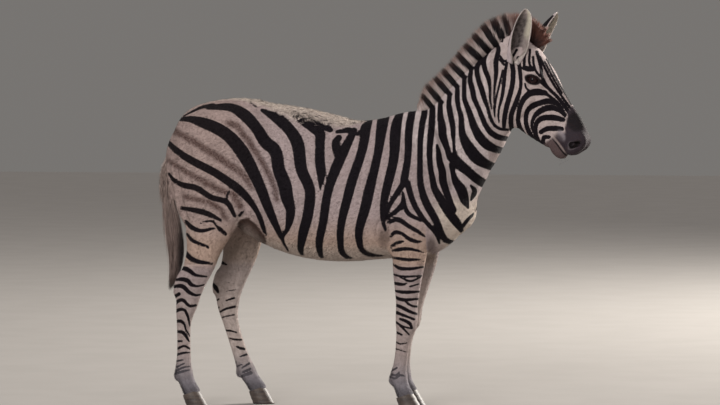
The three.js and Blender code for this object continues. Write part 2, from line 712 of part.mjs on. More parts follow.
function show(name, piece, colour, roughness = 0.85) {
  const geometry = geometryOf(piece);
  geometry.scale(MM_PER_CM, MM_PER_CM, MM_PER_CM);
  const material = new THREE.MeshStandardMaterial({ color: colour, roughness, metalness: 0 });
  const mesh = new THREE.Mesh(geometry, material);
  mesh.name = name;
  zebra.add(mesh);
}

function addTrunkAndNeck() {
  let piece = keep(bodySkin("trunk"), other(CUTS.neck));
  for (const name of Object.keys(LIMBS)) piece = piece.subtract(limbSpace(name, 0));
  const seat = tube(DOCK.map(([x, y, z, deep, wide]) => [x, y, z, deep + GAP, wide + GAP]), 8);
  show("trunk", piece.subtract(seat), COLOURS.coat);
  show("neck", keep(keep(bodySkin("neck"), CUTS.neck), other(CUTS.head)), COLOURS.coat);
}

function addTail() {
  const end = DOCK[DOCK.length - 1];
  const below = { point: [0, 0, end[2]], normal: [0, 0, -1] };
  show("tail_dock", keep(tube(DOCK, 8), other(below)), COLOURS.coat);
  show("tail_switch", keep(tube(SWITCH, 8), below), COLOURS.hair);
}

function addHead() {
  let skull = keep(bodySkin("head"), CUTS.head);
  for (const [name, side] of [["right", -1], ["left", 1]]) {
    skull = skull.subtract(eyeBall(side, EYE.radius + GAP));
    show("eye_" + name, eyeBall(side, EYE.radius), COLOURS.eye, 0.1);
  }
  show("head", skull, COLOURS.coat);
  const clear = ["trunk", "neck", "head"].map((name) => bodySkin(name, HAIR_GAP));
  const seated = (piece) => clear.reduce((rest, skin) => rest.subtract(skin), piece);
  for (const [name, shape] of Object.entries(EARS)) show("ear_" + name, seated(ear(shape)), COLOURS.coat);
  show("mane", seated(mane()), COLOURS.hair);
}

function addLimb(name) {
  const kind = name.split("_")[0];
  const rows = LIMBS[name];
  const { upper, lower, foot } = LIMB_GRIDS[kind];
  const side = Math.sign(rows[0][1]);
  const [joint, fetlock] = LIMB_CUTS[name].joints;
  const level = (z, facing) => ({ point: [0, 0, z], normal: [0, 0, facing] });
  const xs = rows.map((r) => r[0]);
  const grid = (z0, z1, cell, reach) => {
    const low = [Math.min(...xs) - reach, side > 0 ? -2 : -30, z0 - 2.5 * cell[2]];
    const high = [Math.max(...xs) + reach, side > 0 ? 30 : 2, z1 + 2.5 * cell[2]];
    return skinOf(bodyField, low, high, cell);
  };
  const top = rows[0][2] + 20;
  const thigh = keep(grid(joint, top, upper, 20), level(joint, 1)).intersect(limbSpace(name, GAP / 2));
  const shank = keep(keep(grid(fetlock, joint, lower, 12), level(joint, -1)), level(fetlock, 1));
  const pastern = keep(keep(grid(0, fetlock, foot, 12), level(fetlock, -1)), coronetPlane(rows));
  const upperName = { fore: "forearm_", hind: "thigh_" }[kind];
  const lowerName = { fore: "fore_cannon_", hind: "hind_cannon_" }[kind];
  const place = name.split("_")[1];
  show(upperName + place, thigh, COLOURS.coat);
  show(lowerName + place, shank, COLOURS.legs);
  show(kind + "_pastern_" + place, pastern, COLOURS.legs);
  show(kind + "_hoof_" + place, hoof(rows, SOLES[kind]), COLOURS.horn, 0.6);
}

addTrunkAndNeck();
addTail();
addHead();
for (const name of Object.keys(LIMBS)) addLimb(name);

const box = new THREE.Box3().setFromObject(zebra);
zebra.position.set(-(box.min.x + box.max.x) / 2, -(box.min.y + box.max.y) / 2, -box.min.z);

export default zebra;
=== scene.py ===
"""Finished looks of a life-size standing zebra: striped skin, short coat, mane, tail, eyes and hooves.

The skin is the animal's field (sweeps and ovals blended together), drawn as one mesh just below the tips
of the coat.
Its markings are lines on a side view, in centimetres, laid on both flanks; skin and hair share them.
Drawing units are centimetres, with +X where the animal faces, +Y its left side and +Z up.
"""

import math
from types import SimpleNamespace

import bmesh
import bpy
import numpy as np
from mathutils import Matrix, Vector, kdtree


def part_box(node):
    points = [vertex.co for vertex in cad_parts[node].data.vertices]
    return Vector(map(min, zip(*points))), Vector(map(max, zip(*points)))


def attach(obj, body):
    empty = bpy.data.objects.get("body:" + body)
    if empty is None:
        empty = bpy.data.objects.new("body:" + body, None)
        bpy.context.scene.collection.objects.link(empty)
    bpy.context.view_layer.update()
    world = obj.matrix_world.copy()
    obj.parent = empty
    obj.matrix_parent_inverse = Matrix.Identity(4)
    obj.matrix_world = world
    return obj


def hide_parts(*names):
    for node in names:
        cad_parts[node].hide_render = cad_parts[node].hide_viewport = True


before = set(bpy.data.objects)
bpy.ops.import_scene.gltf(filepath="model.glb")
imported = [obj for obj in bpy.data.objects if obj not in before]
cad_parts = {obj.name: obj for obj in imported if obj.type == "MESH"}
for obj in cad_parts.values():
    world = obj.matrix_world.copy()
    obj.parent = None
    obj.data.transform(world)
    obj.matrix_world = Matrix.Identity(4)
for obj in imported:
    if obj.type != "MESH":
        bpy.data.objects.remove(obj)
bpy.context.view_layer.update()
RNG = np.random.default_rng(7)

# ---------------------------------------------------------------- driving dimensions, in centimetres

HEAD_PITCH = math.radians(59.6)
HEAD_YAW = math.radians(10)
POLL = np.array([92.5, 0, 159.7])
EYE = np.array([15.3, 7.7, -3.4])
EYE_RADIUS = 2.15
COAT_DEPTH = 0.38
SHORT_COAT_DEPTH = 0.16
CELL = 1.0
SKIN_BOX = ([-74.0, -27.0, 2.0], [119, 27, 166])
HOOF_TOP = 6.6
HOOF_FALL = 0.32
# Ahead of HEAD_FROM there is little but the head, and below LEG_TOP each leg has its own place.
HEAD_FROM = 84
LEG_TOP = 106

# How many rows or points a smooth curve gets for each one given.
SWEEP_STEPS = 3
CORD_STEPS = 4
LINE_STEPS = 5
MANE_STEPS = 8
TAIL_STEPS = 6

# How many hairs there are, and points along each one.
MANE_HAIRS = 8600
MANE_RINGS = 4
LOCK_HAIRS = 170
TAIL_HAIRS = 5200
TAIL_RINGS = 6
LASHES = 26
CHIN_HAIRS = 34

# The side view that the markings are drawn on.
VIEW_AZIMUTH = math.radians(10)
VIEW_TILT = math.radians(2.3)
VIEW_DISTANCE = 2000.0
VIEW_CENTRE = (17.6, 90.4)
VIEW_WIDTH = 316.8
VIEW_SIN, VIEW_COS = math.sin(VIEW_AZIMUTH), math.cos(VIEW_AZIMUTH)
VIEW_RIGHT = np.array([VIEW_COS, VIEW_SIN, 0])
VIEW_AHEAD = np.array([-VIEW_SIN * math.cos(VIEW_TILT), VIEW_COS * math.cos(VIEW_TILT), -math.sin(VIEW_TILT)])
VIEW_TARGET = np.array([VIEW_CENTRE[0] / VIEW_COS, 0, VIEW_CENTRE[1]])

# ---------------------------------------------------------------- the body, as the solids draw it

# A row is [x, y, z, half depth, half width, how much narrower it is above].
TRUNK = [
    [-56, 0, 112.3, 18.6, 12.6, 0.05],
    [-50, 0, 111.2, 22.6, 17.2, 0.08],
    [-42, 0, 112.4, 23.6, 19.8, 0.12],
    [-33, 0, 111.4, 25.1, 20.6, 0.16],
    [-24, 0, 106.3, 29.1, 21.0, 0.18],
    [-13, 0, 101.2, 31.8, 22.6, 0.18],
    [0, 0, 97.6, 32.3, 23.8, 0.18],
    [12, 0, 95.8, 31.3, 23.7, 0.2],
    [24, 0, 96.2, 30.7, 22.0, 0.26],
    [35, 0, 97.4, 31.2, 19.0, 0.34],
    [44, 0, 98.2, 31.0, 16.6, 0.4],
    [53, 0, 97.6, 26.2, 14.0, 0.3],
    [59, 0, 95.6, 19.5, 11.2, 0.1],
]
NECK = [
    [48, 0, 108, 22.5, 13, 0.3],
    [59, 0, 115.3, 19.8, 11.2, 0.32],
    [67, 0, 125.6, 17.9, 9.4, 0.32],
    [73.4, 0, 135.3, 16, 8.3, 0.3],
    [80, 0, 145.2, 13.2, 7.6, 0.26],
    [86.5, 0, 153.5, 9.6, 6.8, 0.2],
]
# From inside the trunk down to the middle of each hoof. The fore legs differ only in how far forward
# they stand.
FORE_RIGHT = [
    [42.5, -12.4, 84, 10.5, 6.6],
    [42, -13.2, 76, 9.3, 6.4],
    [42.2, -13.4, 69.5, 7.9, 5.7],
    [41.6, -13.2, 61.6, 6.8, 5.0],
    [41.3, -12.9, 56.3, 6.1, 4.5],
    [41.0, -12.5, 47.5, 5.0, 3.9],
    [40.5, -12.3, 39.6, 4.7, 4.1],
    [40.1, -12.2, 35.2, 4.0, 3.7],
    [39.1, -12.1, 29.9, 3.2, 2.8],
    [38.5, -12.0, 24.6, 3.0, 2.4],
    [37.8, -11.9, 19.4, 3.2, 2.6],
    [37.3, -11.8, 14.6, 3.9, 3.4],
    [38.5, -11.8, 10.4, 3.4, 3.1],
    [40.2, -11.8, 6.6, 3.7, 3.7],
]
FORE_LEFT_X = [42.5, 42.8, 43.4, 42.4, 41.4, 39.7, 38.0, 37.2, 36.3, 35.7, 35.2, 34.8, 36.1, 37.8]
LIMBS = {
    "fore_right": FORE_RIGHT,
    "fore_left": [[x, -y, *rest] for x, (_, y, *rest) in zip(FORE_LEFT_X, FORE_RIGHT)],
    "hind_right": [
        [-47, -10.5, 106, 17, 9.6],
        [-46.2, -11.8, 94, 16, 9.2],
        [-46.2, -12.8, 85, 13.0, 8.2],
        [-47.9, -13.2, 77, 10.1, 7.0],
        [-49.5, -13.2, 70, 7.9, 5.9],
        [-51.2, -12.9, 64.2, 7.2, 5.0],
        [-54.2, -12.5, 57, 6.3, 4.2],
        [-56.3, -12.3, 51.5, 5.8, 3.9],
        [-57.2, -12.2, 46.6, 5.1, 3.9],
        [-58.2, -12.2, 42, 4.1, 3.5],
        [-58.8, -12.2, 36.5, 3.2, 2.8],
        [-58.8, -12.2, 29.9, 3.0, 2.5],
        [-58.8, -12.2, 23.3, 3.15, 2.5],
        [-58.9, -12.2, 18.9, 3.5, 2.9],
        [-58.7, -12.2, 15.2, 3.9, 3.4],
        [-57.2, -12.2, 11, 3.4, 3.1],
        [-55.2, -12.2, 6.8, 3.7, 3.6],
    ],
    "hind_left": [
        [-47, 10.5, 106, 17, 9.6],
        [-43.5, 11.8, 94, 15.6, 9.2],
        [-40.2, 12.8, 85, 13.4, 8.2],
        [-38.4, 13.2, 77, 10.9, 7.0],
        [-38.2, 13.2, 70, 8.7, 5.9],
        [-39.3, 12.9, 64.2, 7.6, 5.0],
        [-41.8, 12.6, 57, 6.7, 4.2],
        [-43.5, 12.4, 51.3, 6.1, 3.9],
        [-44, 12.3, 46.6, 5.4, 3.9],
        [-43.8, 12.3, 42, 4.5, 3.5],
        [-42.9, 12.3, 37, 3.6, 2.8],
        [-41.4, 12.3, 31.5, 3.3, 2.5],
        [-39, 12.3, 24, 3.3, 2.5],
        [-37.2, 12.3, 18.9, 3.6, 2.9],
        [-35.7, 12.3, 15.2, 4.0, 3.4],
        [-33.2, 12.3, 11, 3.5, 3.1],
        [-30.4, 12.3, 6.8, 3.7, 3.6],
    ],
}
# Muscles and bony points: [centre, radii, tilt, blend distance].
PAIRED_LUMPS = [
    [[45, 12.5, 103], [9, 5.5, 22], -14, 6],  # shoulder blade
    [[53.5, 10.5, 88], [10.5, 6, 8.5], 30, 5],  # upper arm and point of the shoulder
    [[37, 13.5, 80], [8.5, 5.2, 9.5], 60, 5],  # triceps down to the elbow
    [[60, 4.6, 86.6], [7.8, 6.2, 8.8], 70, 5],  # breast
    [[-45, 12, 116], [16, 8, 13.5], 25, 6],  # rump
    [[-51.5, 11, 99], [19, 8.5, 10.5], 76, 6],  # buttock
    [[-35, 15, 91], [8, 5.5, 8], 60, 5],  # stifle
    [[-27, 13, 122], [5, 4.5, 4.5], 0, 6],  # point of the hip
]
POINTS = [
    [[-61.0, -12.3, 54.6], [2.0, 1.7, 5.4], -16, 3],  # point of each hock
    [[-48.9, 12.3, 54.2], [2.0, 1.7, 5.4], -12, 3],
    [[43.6, -12.3, 39.2], [1.7, 2.9, 4.2], 0, 2],  # front of each knee
    [[41.1, 12.3, 39.2], [1.7, 2.9, 4.2], 0, 2],
    [[34.4, -11.8, 13.2], [1.5, 1.6, 2.0], 0, 1.5],  # tuft behind each fetlock
    [[31.9, 11.8, 13.2], [1.5, 1.6, 2.0], 0, 1.5],
    [[-61.6, -12.2, 13.8], [1.5, 1.6, 2.0], 0, 1.5],
    [[-38.6, 12.3, 13.6], [1.5, 1.6, 2.0], 0, 1.5],
]
# The head in its own frame: [along, out, up, half depth, half width, narrower above].
SKULL = [
    [-3, 0, -5.5, 6, 5.6, 0.1],
    [3, 0, -4.6, 7.6, 7.2, 0.1],
    [9, 0, -4.6, 8.8, 8.2, 0.12],
    [15, 0, -4.6, 9.4, 8.2, 0.16],
    [21, 0, -4.8, 9.4, 7.2, 0.26],
    [27, 0, -4.6, 8.9, 6.0, 0.34],
    [33, 0, -4.0, 8.4, 5.2, 0.3],
    [39, 0, -3.0, 7.9, 4.9, 0.18],
    [43.5, 0, -2.6, 7.4, 5.3, 0.08],
    [46.8, 0, -2.7, 6.4, 5.1, 0.02],
]
JAW = [
    [5, 0, -11, 5.5, 5.2, 0],
    [12, 0, -15, 8, 6.6, -0.05],
    [19, 0, -16.6, 8.4, 6.8, -0.05],
    [26, 0, -15.6, 7.4, 5.7, 0.05],
    [33, 0, -13.6, 6.2, 4.4, 0.1],
    [40, 0, -11.3, 4.8, 3.7, 0.1],
    [44.5, 0, -10.4, 3.7, 3.6, 0],
]
HEAD_LUMPS = [
    [[14.8, 7.0, -2.0], [4.4, 2.3, 3.2], 0, 2.5],  # brow and socket
    [[24, 5.6, -6.2], [9, 1.7, 1.9], 4, 2],  # cheek ridge
    [[16.5, 5.2, -16], [8.4, 2.9, 8], 0, 3],  # cheek muscle
    [[47.7, 3.4, -1.6], [4.4, 2.6, 5.0], 0, 2],  # nostril wing
    [[49.2, 1.6, -4.8], [3.0, 3.6, 3.4], 0, 1.6],  # upper lip
    [[46.8, 0.9, -10.8], [4.2, 3.0, 3.0], 8, 1.4],  # lower lip and chin
]
DOCK = [
    [-58.5, 0, 122, 2.4, 2.5],
    [-63, 0, 119.5, 2.6, 2.7],
    [-66.2, 0, 114.5, 2.5, 2.6],
    [-67.4, 0, 107, 2.3, 2.4],
    [-67.3, 0, 100, 2.1, 2.3],
    [-66.9, 0, 92, 2.0, 2.2],
]

# Finer shapes of the head: ridges and grooves are cords through [along, out, up, radius], with a blend
# distance.
HEAD_RIDGES = [
    ([[7, 7.0, -4, 0.7], [12, 8.3, -5, 0.9], [20, 7.7, -6.2, 0.8], [28, 6.0, -6.8, 0.5]], 1.4),
    ([[11.4, 6.6, 0.6, 0.5], [15.4, 7.9, 0.2, 0.7], [19.4, 7.2, -1.8, 0.4]], 1.2),
    ([[45.6, 4.9, 1.0, 0.5], [49.4, 5.2, 0.6, 0.6], [51.2, 4.2, -1.6, 0.6]], 0.8),
]
HEAD_GROOVES = [
    ([[41.6, 4.3, -9.9, 0.28], [44.5, 4.2, -9.4, 0.3], [47.5, 4.0, -9.1, 0.3], [50.4, 2.8, -8.9, 0.3],
      [51.9, 0, -8.8, 0.35]], 0.5),
    ([[24.5, 6.4, -9.5, 0.3], [26.6, 6.0, -12.8, 0.5], [27.4, 5.2, -17, 0.4]], 2.2),
    ([[3, 7.2, -8, 0.4], [5, 7.4, -13, 0.6], [9.5, 6.2, -21, 0.6]], 2.5),
    ([[13.1, 8.9, -0.7, 0.1], [15.5, 9.5, -0.9, 0.13], [17.9, 8.9, -2.0, 0.1]], 0.5),
    ([[12.9, 9.4, -6.0, 0.1], [15.3, 9.9, -6.3, 0.12], [17.7, 9.2, -6.2, 0.1]], 0.5),
    ([[40.2, 2.6, -15.6, 0.5], [43.4, 1.8, -14.9, 0.6], [44.6, 0, -14.8, 0.6]], 1.6),
]
NOSTRILS = [
    ([48.9, 5.6, -1.9], [1.0, 1.7, 2.3], -24, 0.5),
    ([48.2, 5.6, -3.3], [1.0, 1.3, 1.1], -24, 0.5),
    ([9.2, 8.4, 0.6], [2.6, 1.5, 1.5], 10, 1.6),
]
LID = {"shift": [0, 0.05, 0], "radii": [2.9, 2.5, 2.4], "tilt": 42, "blend": 1.0}
SLIT = {"shift": [0.1, 2.2, -0.1], "radii": [2.85, 2.6, 1.3], "tilt": 44, "blend": 0.22}

# Finer shapes of the body, the same on both sides: cords through [x, y, z, radius].
BODY_RIDGES = [
    ([[-63.2, 9.2, 112, 0.6], [-66, 7, 104, 0.9], [-64, 7.5, 92, 0.6]], 4),
]
BODY_GROOVES = [
    ([[56, 12.6, 122, 0.5], [59.5, 12.8, 111, 0.8], [61.5, 12, 99, 0.8]], 4),
    ([[33.8, 20.8, 85, 0.3], [35.0, 20.2, 78, 0.65], [33.8, 18.0, 70, 0.55]], 1.3),
    ([[30.4, 21.2, 84, 0.2], [28.8, 20.6, 78, 0.55], [30.4, 16.4, 71, 0.5]], 1.2),
    ([[-31, 20.8, 96, 0.3], [-28.6, 20.2, 88, 0.5], [-28.8, 19.4, 85, 0.3]], 3),
    ([[-61, 13.5, 108, 0.5], [-60, 15.5, 94, 0.9], [-56.5, 16.6, 80, 0.6]], 4),
    ([[66, 0, 80, 0.4], [63.5, 0, 75, 0.8], [60, 0, 70, 0.6]], 2.5),
    ([[-71, 0, 104, 0.8], [-68.5, 0, 92, 1.8], [-61, 0, 80, 2]], 4),
]
# The fold of skin from the right flank to the stifle, and the hollow under it.
FLANK_FOLD = [[-35.3, -15.6, 79.2, 0.3], [-32.4, -18.2, 83.3, 0.55], [-28.6, -18.4, 84.2, 0.65],
              [-24.9, -17.4, 80.5, 0.55], [-21.5, -14.2, 75.5, 0.2]]
FLANK_HOLLOW = ([-29.6, -18.6, 78.4], [4.6, 3.4, 4.2], -20, 1.6)
# The grooves along both sides of each cannon and gaskin, between two heights.
TENDON = {"from": 19, "to": 36, "behind": 0.3, "radius": 0.32, "blend": 0.9}
GASKIN = {"from": 53, "to": 65, "behind": 0.5, "radius": 0.28, "blend": 1.0}

# Ears are leaves rolled into cups: where each starts, its tip, and the way its opening faces.
EARS = {
    "right": {"base": [85.4, -6.2, 153], "tip": [92.8, -10.6, 175.5], "facing": [0.62, -0.78, 0.1]},
    "left": {"base": [90.4, 6.6, 155.5], "tip": [103.4, 10.8, 174.1], "facing": [0.72, -0.3, -0.62]},
}
EAR = {"width": 4.65, "thick": 0.42, "widest": 0.42, "root": 0.6, "roll": [150, 62], "hollow": 0.22}
# Where the ear swells out of the head: how far along it, and the radius there.
EAR_ROOT = [(-0.1, 2.9), (0, 2.7), (0.1, 2.2)]

# The mane stands on the crest: [x, z] at the roots, then [x, z] at the tips.
MANE = [
    [44, 129, 44.3, 133.3],
    [46, 131, 44.8, 135.5],
    [49.8, 131.8, 45.2, 138.2],
    [53.5, 134.2, 46.6, 142],
    [57.3, 137.6, 50.2, 145.2],
    [60.7, 141, 53.6, 148.4],
    [64.2, 144.8, 57, 151.8],
    [67, 149, 60.4, 155.8],
    [70.6, 153, 63.8, 160],
    [73.8, 156.5, 67.4, 164],
    [77, 159.5, 71.2, 168.4],
    [80, 161, 76.3, 171.6],
    [85, 161.5, 82.8, 173.8],
    [90, 160.6, 90.5, 173.4],
    [94.5, 159.0, 97, 170.4],
    [96.4, 157.4, 100.6, 164.6],
]
# The line that the long hair of the tail hangs along, and how far out it spreads:
# [x, z, fore and aft, across].
TAIL = [
    [-66.0, 113, 2.3, 2.4],
    [-67.6, 106, 2.4, 2.5],
    [-68.4, 99, 2.6, 2.5],
    [-68.2, 92, 2.7, 2.5],
    [-67.1, 85, 3.2, 2.8],
    [-65.8, 76, 3.6, 3.1],
    [-64.9, 67, 3.3, 2.8],
    [-65.6, 58, 2.2, 2.0],
    [-68.0, 50.4, 0.5, 0.6],
]

# ---------------------------------------------------------------- markings, drawn on the side view

# Black lines through [forward, up, full width], from the rump to the neck.
BODY_MARKS = [
    [(-49.5, 132, 1.3), (-44, 132.5, 2.6), (-38.5, 132, 3.5), (-34, 129.5, 4.8), (-27.5, 122.5, 4.8),
     (-24, 117, 5.3), (-20, 113.5, 5.3), (-18, 104.5, 5.3), (-15.5, 98, 5.7), (-14.5, 92.5, 5.3),
     (-13, 87, 4), (-13.5, 82, 3.1), (-14.5, 78.5, 1.8), (-16.5, 75, 1.3), (-14, 69, 0.5)],
    [(-61.5, 127, 1.3), (-57, 127, 2.6), (-53, 126, 4), (-39.5, 119, 5.3), (-36, 115, 5.7),
     (-28, 101, 4.8), (-21.5, 85, 3.5), (-17, 75, 1.8)],
    [(-67, 117, 1.8), (-64, 114, 2.4), (-43, 101.5, 3.3), (-35, 95.5, 3.5), (-27.5, 86, 2), (-26, 82.5, 2),
     (-24, 76, 1.1)],
    [(-66.5, 103, 0.9), (-64, 100, 1.5), (-60, 98, 2.2), (-55, 97, 2.4), (-47.5, 92.5, 2.2),
     (-41, 90.5, 2.2), (-37.5, 84.5, 1.3)],
    [(-40, 95.5, 0.9), (-41.5, 91.5, 0.9)],
    [(-61, 88, 1.3), (-49.5, 85.5, 2.2), (-43.5, 82.5, 0.9)],
    [(-59, 82, 1.3), (-56.5, 79.5, 1.8), (-53, 78, 1.5), (-47, 79, 0.9)],
    [(-44.5, 79, 1.8), (-41.5, 76.5, 1.3)],
    [(-52.5, 81.5, 0.7), (-47, 82, 0.7), (-45.5, 80, 0.7)],
    [(-58.5, 76.5, 0.9), (-56.5, 74, 1.3), (-51, 71.5, 1.1)],
    [(-50.5, 71.5, 0.9), (-49, 70.5, 0.9)],
    [(-59.5, 68.5, 1.8), (-56.5, 65.5, 2), (-47.5, 63.5, 0.7)],
    [(-35.5, 84.5, 0.9), (-34, 86.5, 0.9)],
    [(-25.5, 131, 1.3), (-17.5, 126.5, 4.8), (-13.5, 122.5, 4.8), (-10.5, 118, 5.3), (-8, 104.5, 4.8),
     (-4.5, 96, 4.4), (-5, 87, 4.4), (-8, 74, 3.5), (-8.5, 69.5, 2.2), (-7.5, 67, 1.1), (-5.5, 66, 0.7)],
    [(-12, 129.5, 2.2), (-7.5, 126.5, 4), (-3, 123.5, 4.4), (0, 120.5, 4.4), (0, 117, 4), (0, 108, 4.2),
     (0.5, 104, 4), (0, 96, 0.4)],
    [(15, 122, 2.6), (9, 110, 4.4), (7, 105.5, 4.4), (4, 97, 3.7), (1.5, 82.5, 3.5), (0, 68.5, 2.2),
     (1, 66, 1.3), (3, 65, 0.8), (6.5, 64.5, 0.5)],
    [(-7, 127.8, 2.2), (0, 125, 3.6), (4.5, 122.5, 2.4)],
    [(8.5, 119, 2.2), (7, 117, 3.1), (7, 114, 3.1), (8, 111, 3.1)],
    [(7.5, 121.5, 1.3), (14, 122, 2.2), (16.5, 120.5, 1.3), (18, 121.5, 1.8)],
    [(21.5, 126.5, 3.1), (20, 122.5, 4.4), (19.5, 118, 4), (13, 96, 4), (9, 72, 2.6), (9.5, 69, 2.4),
     (11, 67, 1.8), (14, 65.5, 1.1), (18.5, 65, 0.7)],
    [(14.5, 126, 1.3), (21, 126.5, 2.2)],
    [(28.8, 131.5, 4.6), (28, 128, 4.8), (25.5, 112, 3.5), (20.5, 90.5, 4.4), (17.5, 72, 2.6),
     (18.5, 69.5, 2.2),
     (20.5, 68, 1.8), (24, 67, 1.5), (30, 66.5, 0.7)],
    [(36, 132.5, 2.6), (35, 129, 3.0), (34, 126, 4), (32.5, 110, 4), (28, 90, 2.9), (27.5, 85.5, 2),
     (28, 81, 1.5),
     (29, 78, 0.9)],
    [(41.2, 133.5, 3.0), (40.5, 130, 3.1), (39.5, 125, 3.3), (38.5, 109, 2.9), (37, 100, 3.3)],
    [(36.5, 98.5, 2.6), (29.5, 86, 1.3), (29, 83, 0.9)],
    [(38.5, 99, 2.6), (40.5, 92, 2.4), (42, 88.5, 2.4), (46.5, 82, 1.8), (51.5, 76, 1.8),
     (52.5, 72.5, 0.9)],
    [(36.5, 94.5, 0.9), (36.5, 90, 2.2), (34.5, 87.5, 2), (30, 84, 1.3)],
    [(37, 89.5, 1.8), (38.5, 86, 1.8), (44.5, 82.5, 1.3)],
    [(30.2, 81.5, 1.2), (33.5, 83, 1.9), (39, 80, 1.7), (44, 77, 1.4), (46, 75.5, 0.8)],
    [(31.2, 75.6, 1.0), (32.8, 77.2, 1.5), (36.5, 76.4, 1.3), (38.8, 74.6, 1.5), (42.6, 73.2, 1.4),
     (45, 73, 0.6)],
    [(31.2, 71, 0.9), (34, 72.7, 1.2), (36.8, 73.2, 0.9)],
    [(46, 132.5, 2.3), (46, 130, 2.6), (45, 125, 2.6), (44, 107.5, 2.4), (44.5, 97, 2.9), (46, 92, 3.3),
     (50.5, 83.5, 3.3),
     (57, 73, 2.2), (60, 73, 1.3), (62, 74.5, 0.9)],
    [(49.5, 132.5, 2.3), (49.5, 130.5, 2.6), (48.5, 106.5, 2.4), (49.5, 101, 2.6), (50.5, 96.5, 3.1),
     (53, 92, 3.6), (56.7, 86, 4),
     (60.8, 80.5, 3.4), (62.8, 77, 1.2)],
    [(51.5, 115.5, 1.2), (52.2, 112, 2.3), (52.7, 108, 2.9), (53.8, 104, 3.3), (54.1, 100, 3.4),
     (55.6, 95, 3.0),
     (57.4, 90.5, 2.6), (58.8, 87, 2.6)],
    [(53, 134.5, 2.0), (52.9, 132, 2.2), (53, 128, 2.8), (53.7, 124, 3.5), (54, 120, 3.6), (55.3, 116, 2.9),
     (56, 114, 2.6), (57.2, 110, 2.8)],
    [(57, 137, 2.0), (56.7, 134, 2.2), (56.9, 132, 2.5), (57.6, 128, 2.6), (58.4, 124, 2.4), (58.6, 120, 2.0),
     (58.9, 116, 1.3), (59.0, 114, 1.4), (59.5, 111.5, 2.0)],
    [(58.2, 107, 3.0), (58.4, 104, 2.2), (59.6, 100, 3.2), (62.4, 95.5, 4.6), (63.6, 91.5, 3.8),
     (65.2, 88, 0.9)],
    [(58.6, 110, 4.4), (61, 107.4, 4.8), (64.5, 104.6, 4.2), (68, 101.6, 4.0), (71, 99.4, 4.0),
     (74, 97.8, 3.4)],
    [(66.4, 97.8, 1.0), (68, 95.6, 2.2), (67.2, 93, 1.8), (66.4, 91.4, 0.8)],
    [(62.8, 80, 1.6), (65, 82.8, 1.5), (67.6, 85.4, 1.0)],
    [(60.5, 140, 2.1), (60.4, 136, 2.2), (61, 132, 2.0), (62.1, 128, 2.4), (62.3, 124, 2.7), (62.8, 120, 3.3),
     (64.6, 116, 4.6), (66.5, 113, 5.2), (69.5, 109.6, 5.2), (73, 107.4, 4.2), (78, 105.4, 3.0)],
    [(63.5, 144.5, 2), (63.4, 140, 1.9), (63.6, 136, 2.1), (65, 132, 2.4), (66.4, 128, 2.8), (67.7, 124, 3.4),
     (69.2, 121, 3.8), (70.8, 118.6, 4.2), (73.5, 115.8, 4.2), (76.5, 114.2, 3.5), (82, 112.8, 2.4)],
    [(66.5, 148.5, 1.8), (66, 144.5, 2.2), (67.1, 140, 2.4), (67.9, 136, 2.3), (69.7, 132, 2.0),
     (71.3, 128, 2.3),
     (73.1, 124, 2.3), (75.4, 121, 2.6), (78, 119.4, 2.6), (83.5, 118.2, 1.8)],
    [(70.5, 153, 2.2), (69, 149.5, 2.2), (69.6, 145, 2.2), (71.2, 140, 2.4), (72.4, 136, 2.1),
     (73.8, 132, 1.5),
     (74.9, 128, 1.5), (76.8, 124.4, 1.4), (79, 122.9, 1.3), (82.5, 122.4, 1.1)],
    [(73.5, 156.5, 1.8), (72, 153, 2.2), (72.6, 149, 2.2), (74.1, 145, 2.0), (74.8, 140, 1.2),
     (74.8, 136, 1.0),
     (75.6, 131.5, 0.5)],
    [(76, 161, 1.8), (78, 159.5, 1.8), (77.4, 152, 2.2), (77.5, 147, 1.9), (76.9, 142, 1.1), (76.6, 138, 0.7),
     (76.7, 134, 0.7)],
    [(80.4, 148.5, 0.8), (79.2, 143.5, 0.9), (78.4, 140, 0.9), (77.5, 136, 0.8), (76.8, 132, 1.1),
     (76.9, 128, 0.5)],
    [(82.3, 151.5, 0.9), (81.5, 148.5, 1.5), (81, 144, 1.7), (80.6, 140, 1.5), (79.9, 136, 1.4),
     (78.8, 132, 1.0),
     (78.5, 128, 0.8), (78.8, 125.5, 0.5)],
]
DORSAL_MARKS = [
    [(-60, 128.4, 0.6), (-57, 130.0, 0.9), (-51.7, 132.4, 1.4), (-47, 133.2, 1.8)],
    [(-31, 134.6, 0.5), (-28, 132.4, 0.7)],
]
BROWN_MARKS = [
    [(-40, 125.3, 1.6), (-37, 124.3, 1.9), (-33.7, 120.4, 1.8), (-28.2, 112.6, 1.8), (-23.5, 104.8, 1.8),
     (-20.4, 97.8, 1.5), (-19, 91.5, 1.0)],
    [(-64, 122, 1.8), (-42, 108.5, 2.2), (-32.5, 101, 1.8), (-30, 97, 0.9)],
    [(-66.5, 108.7, 1.0), (-56.3, 102.4, 1.4), (-47.7, 97.8, 1.6), (-40.7, 94.4, 1.6)],
    [(-38.5, 94.5, 1.8), (-35, 88.5, 1.8)],
    [(-59.5, 93, 1.3), (-44, 87.5, 1.3), (-41.5, 83.5, 1.3)],
]
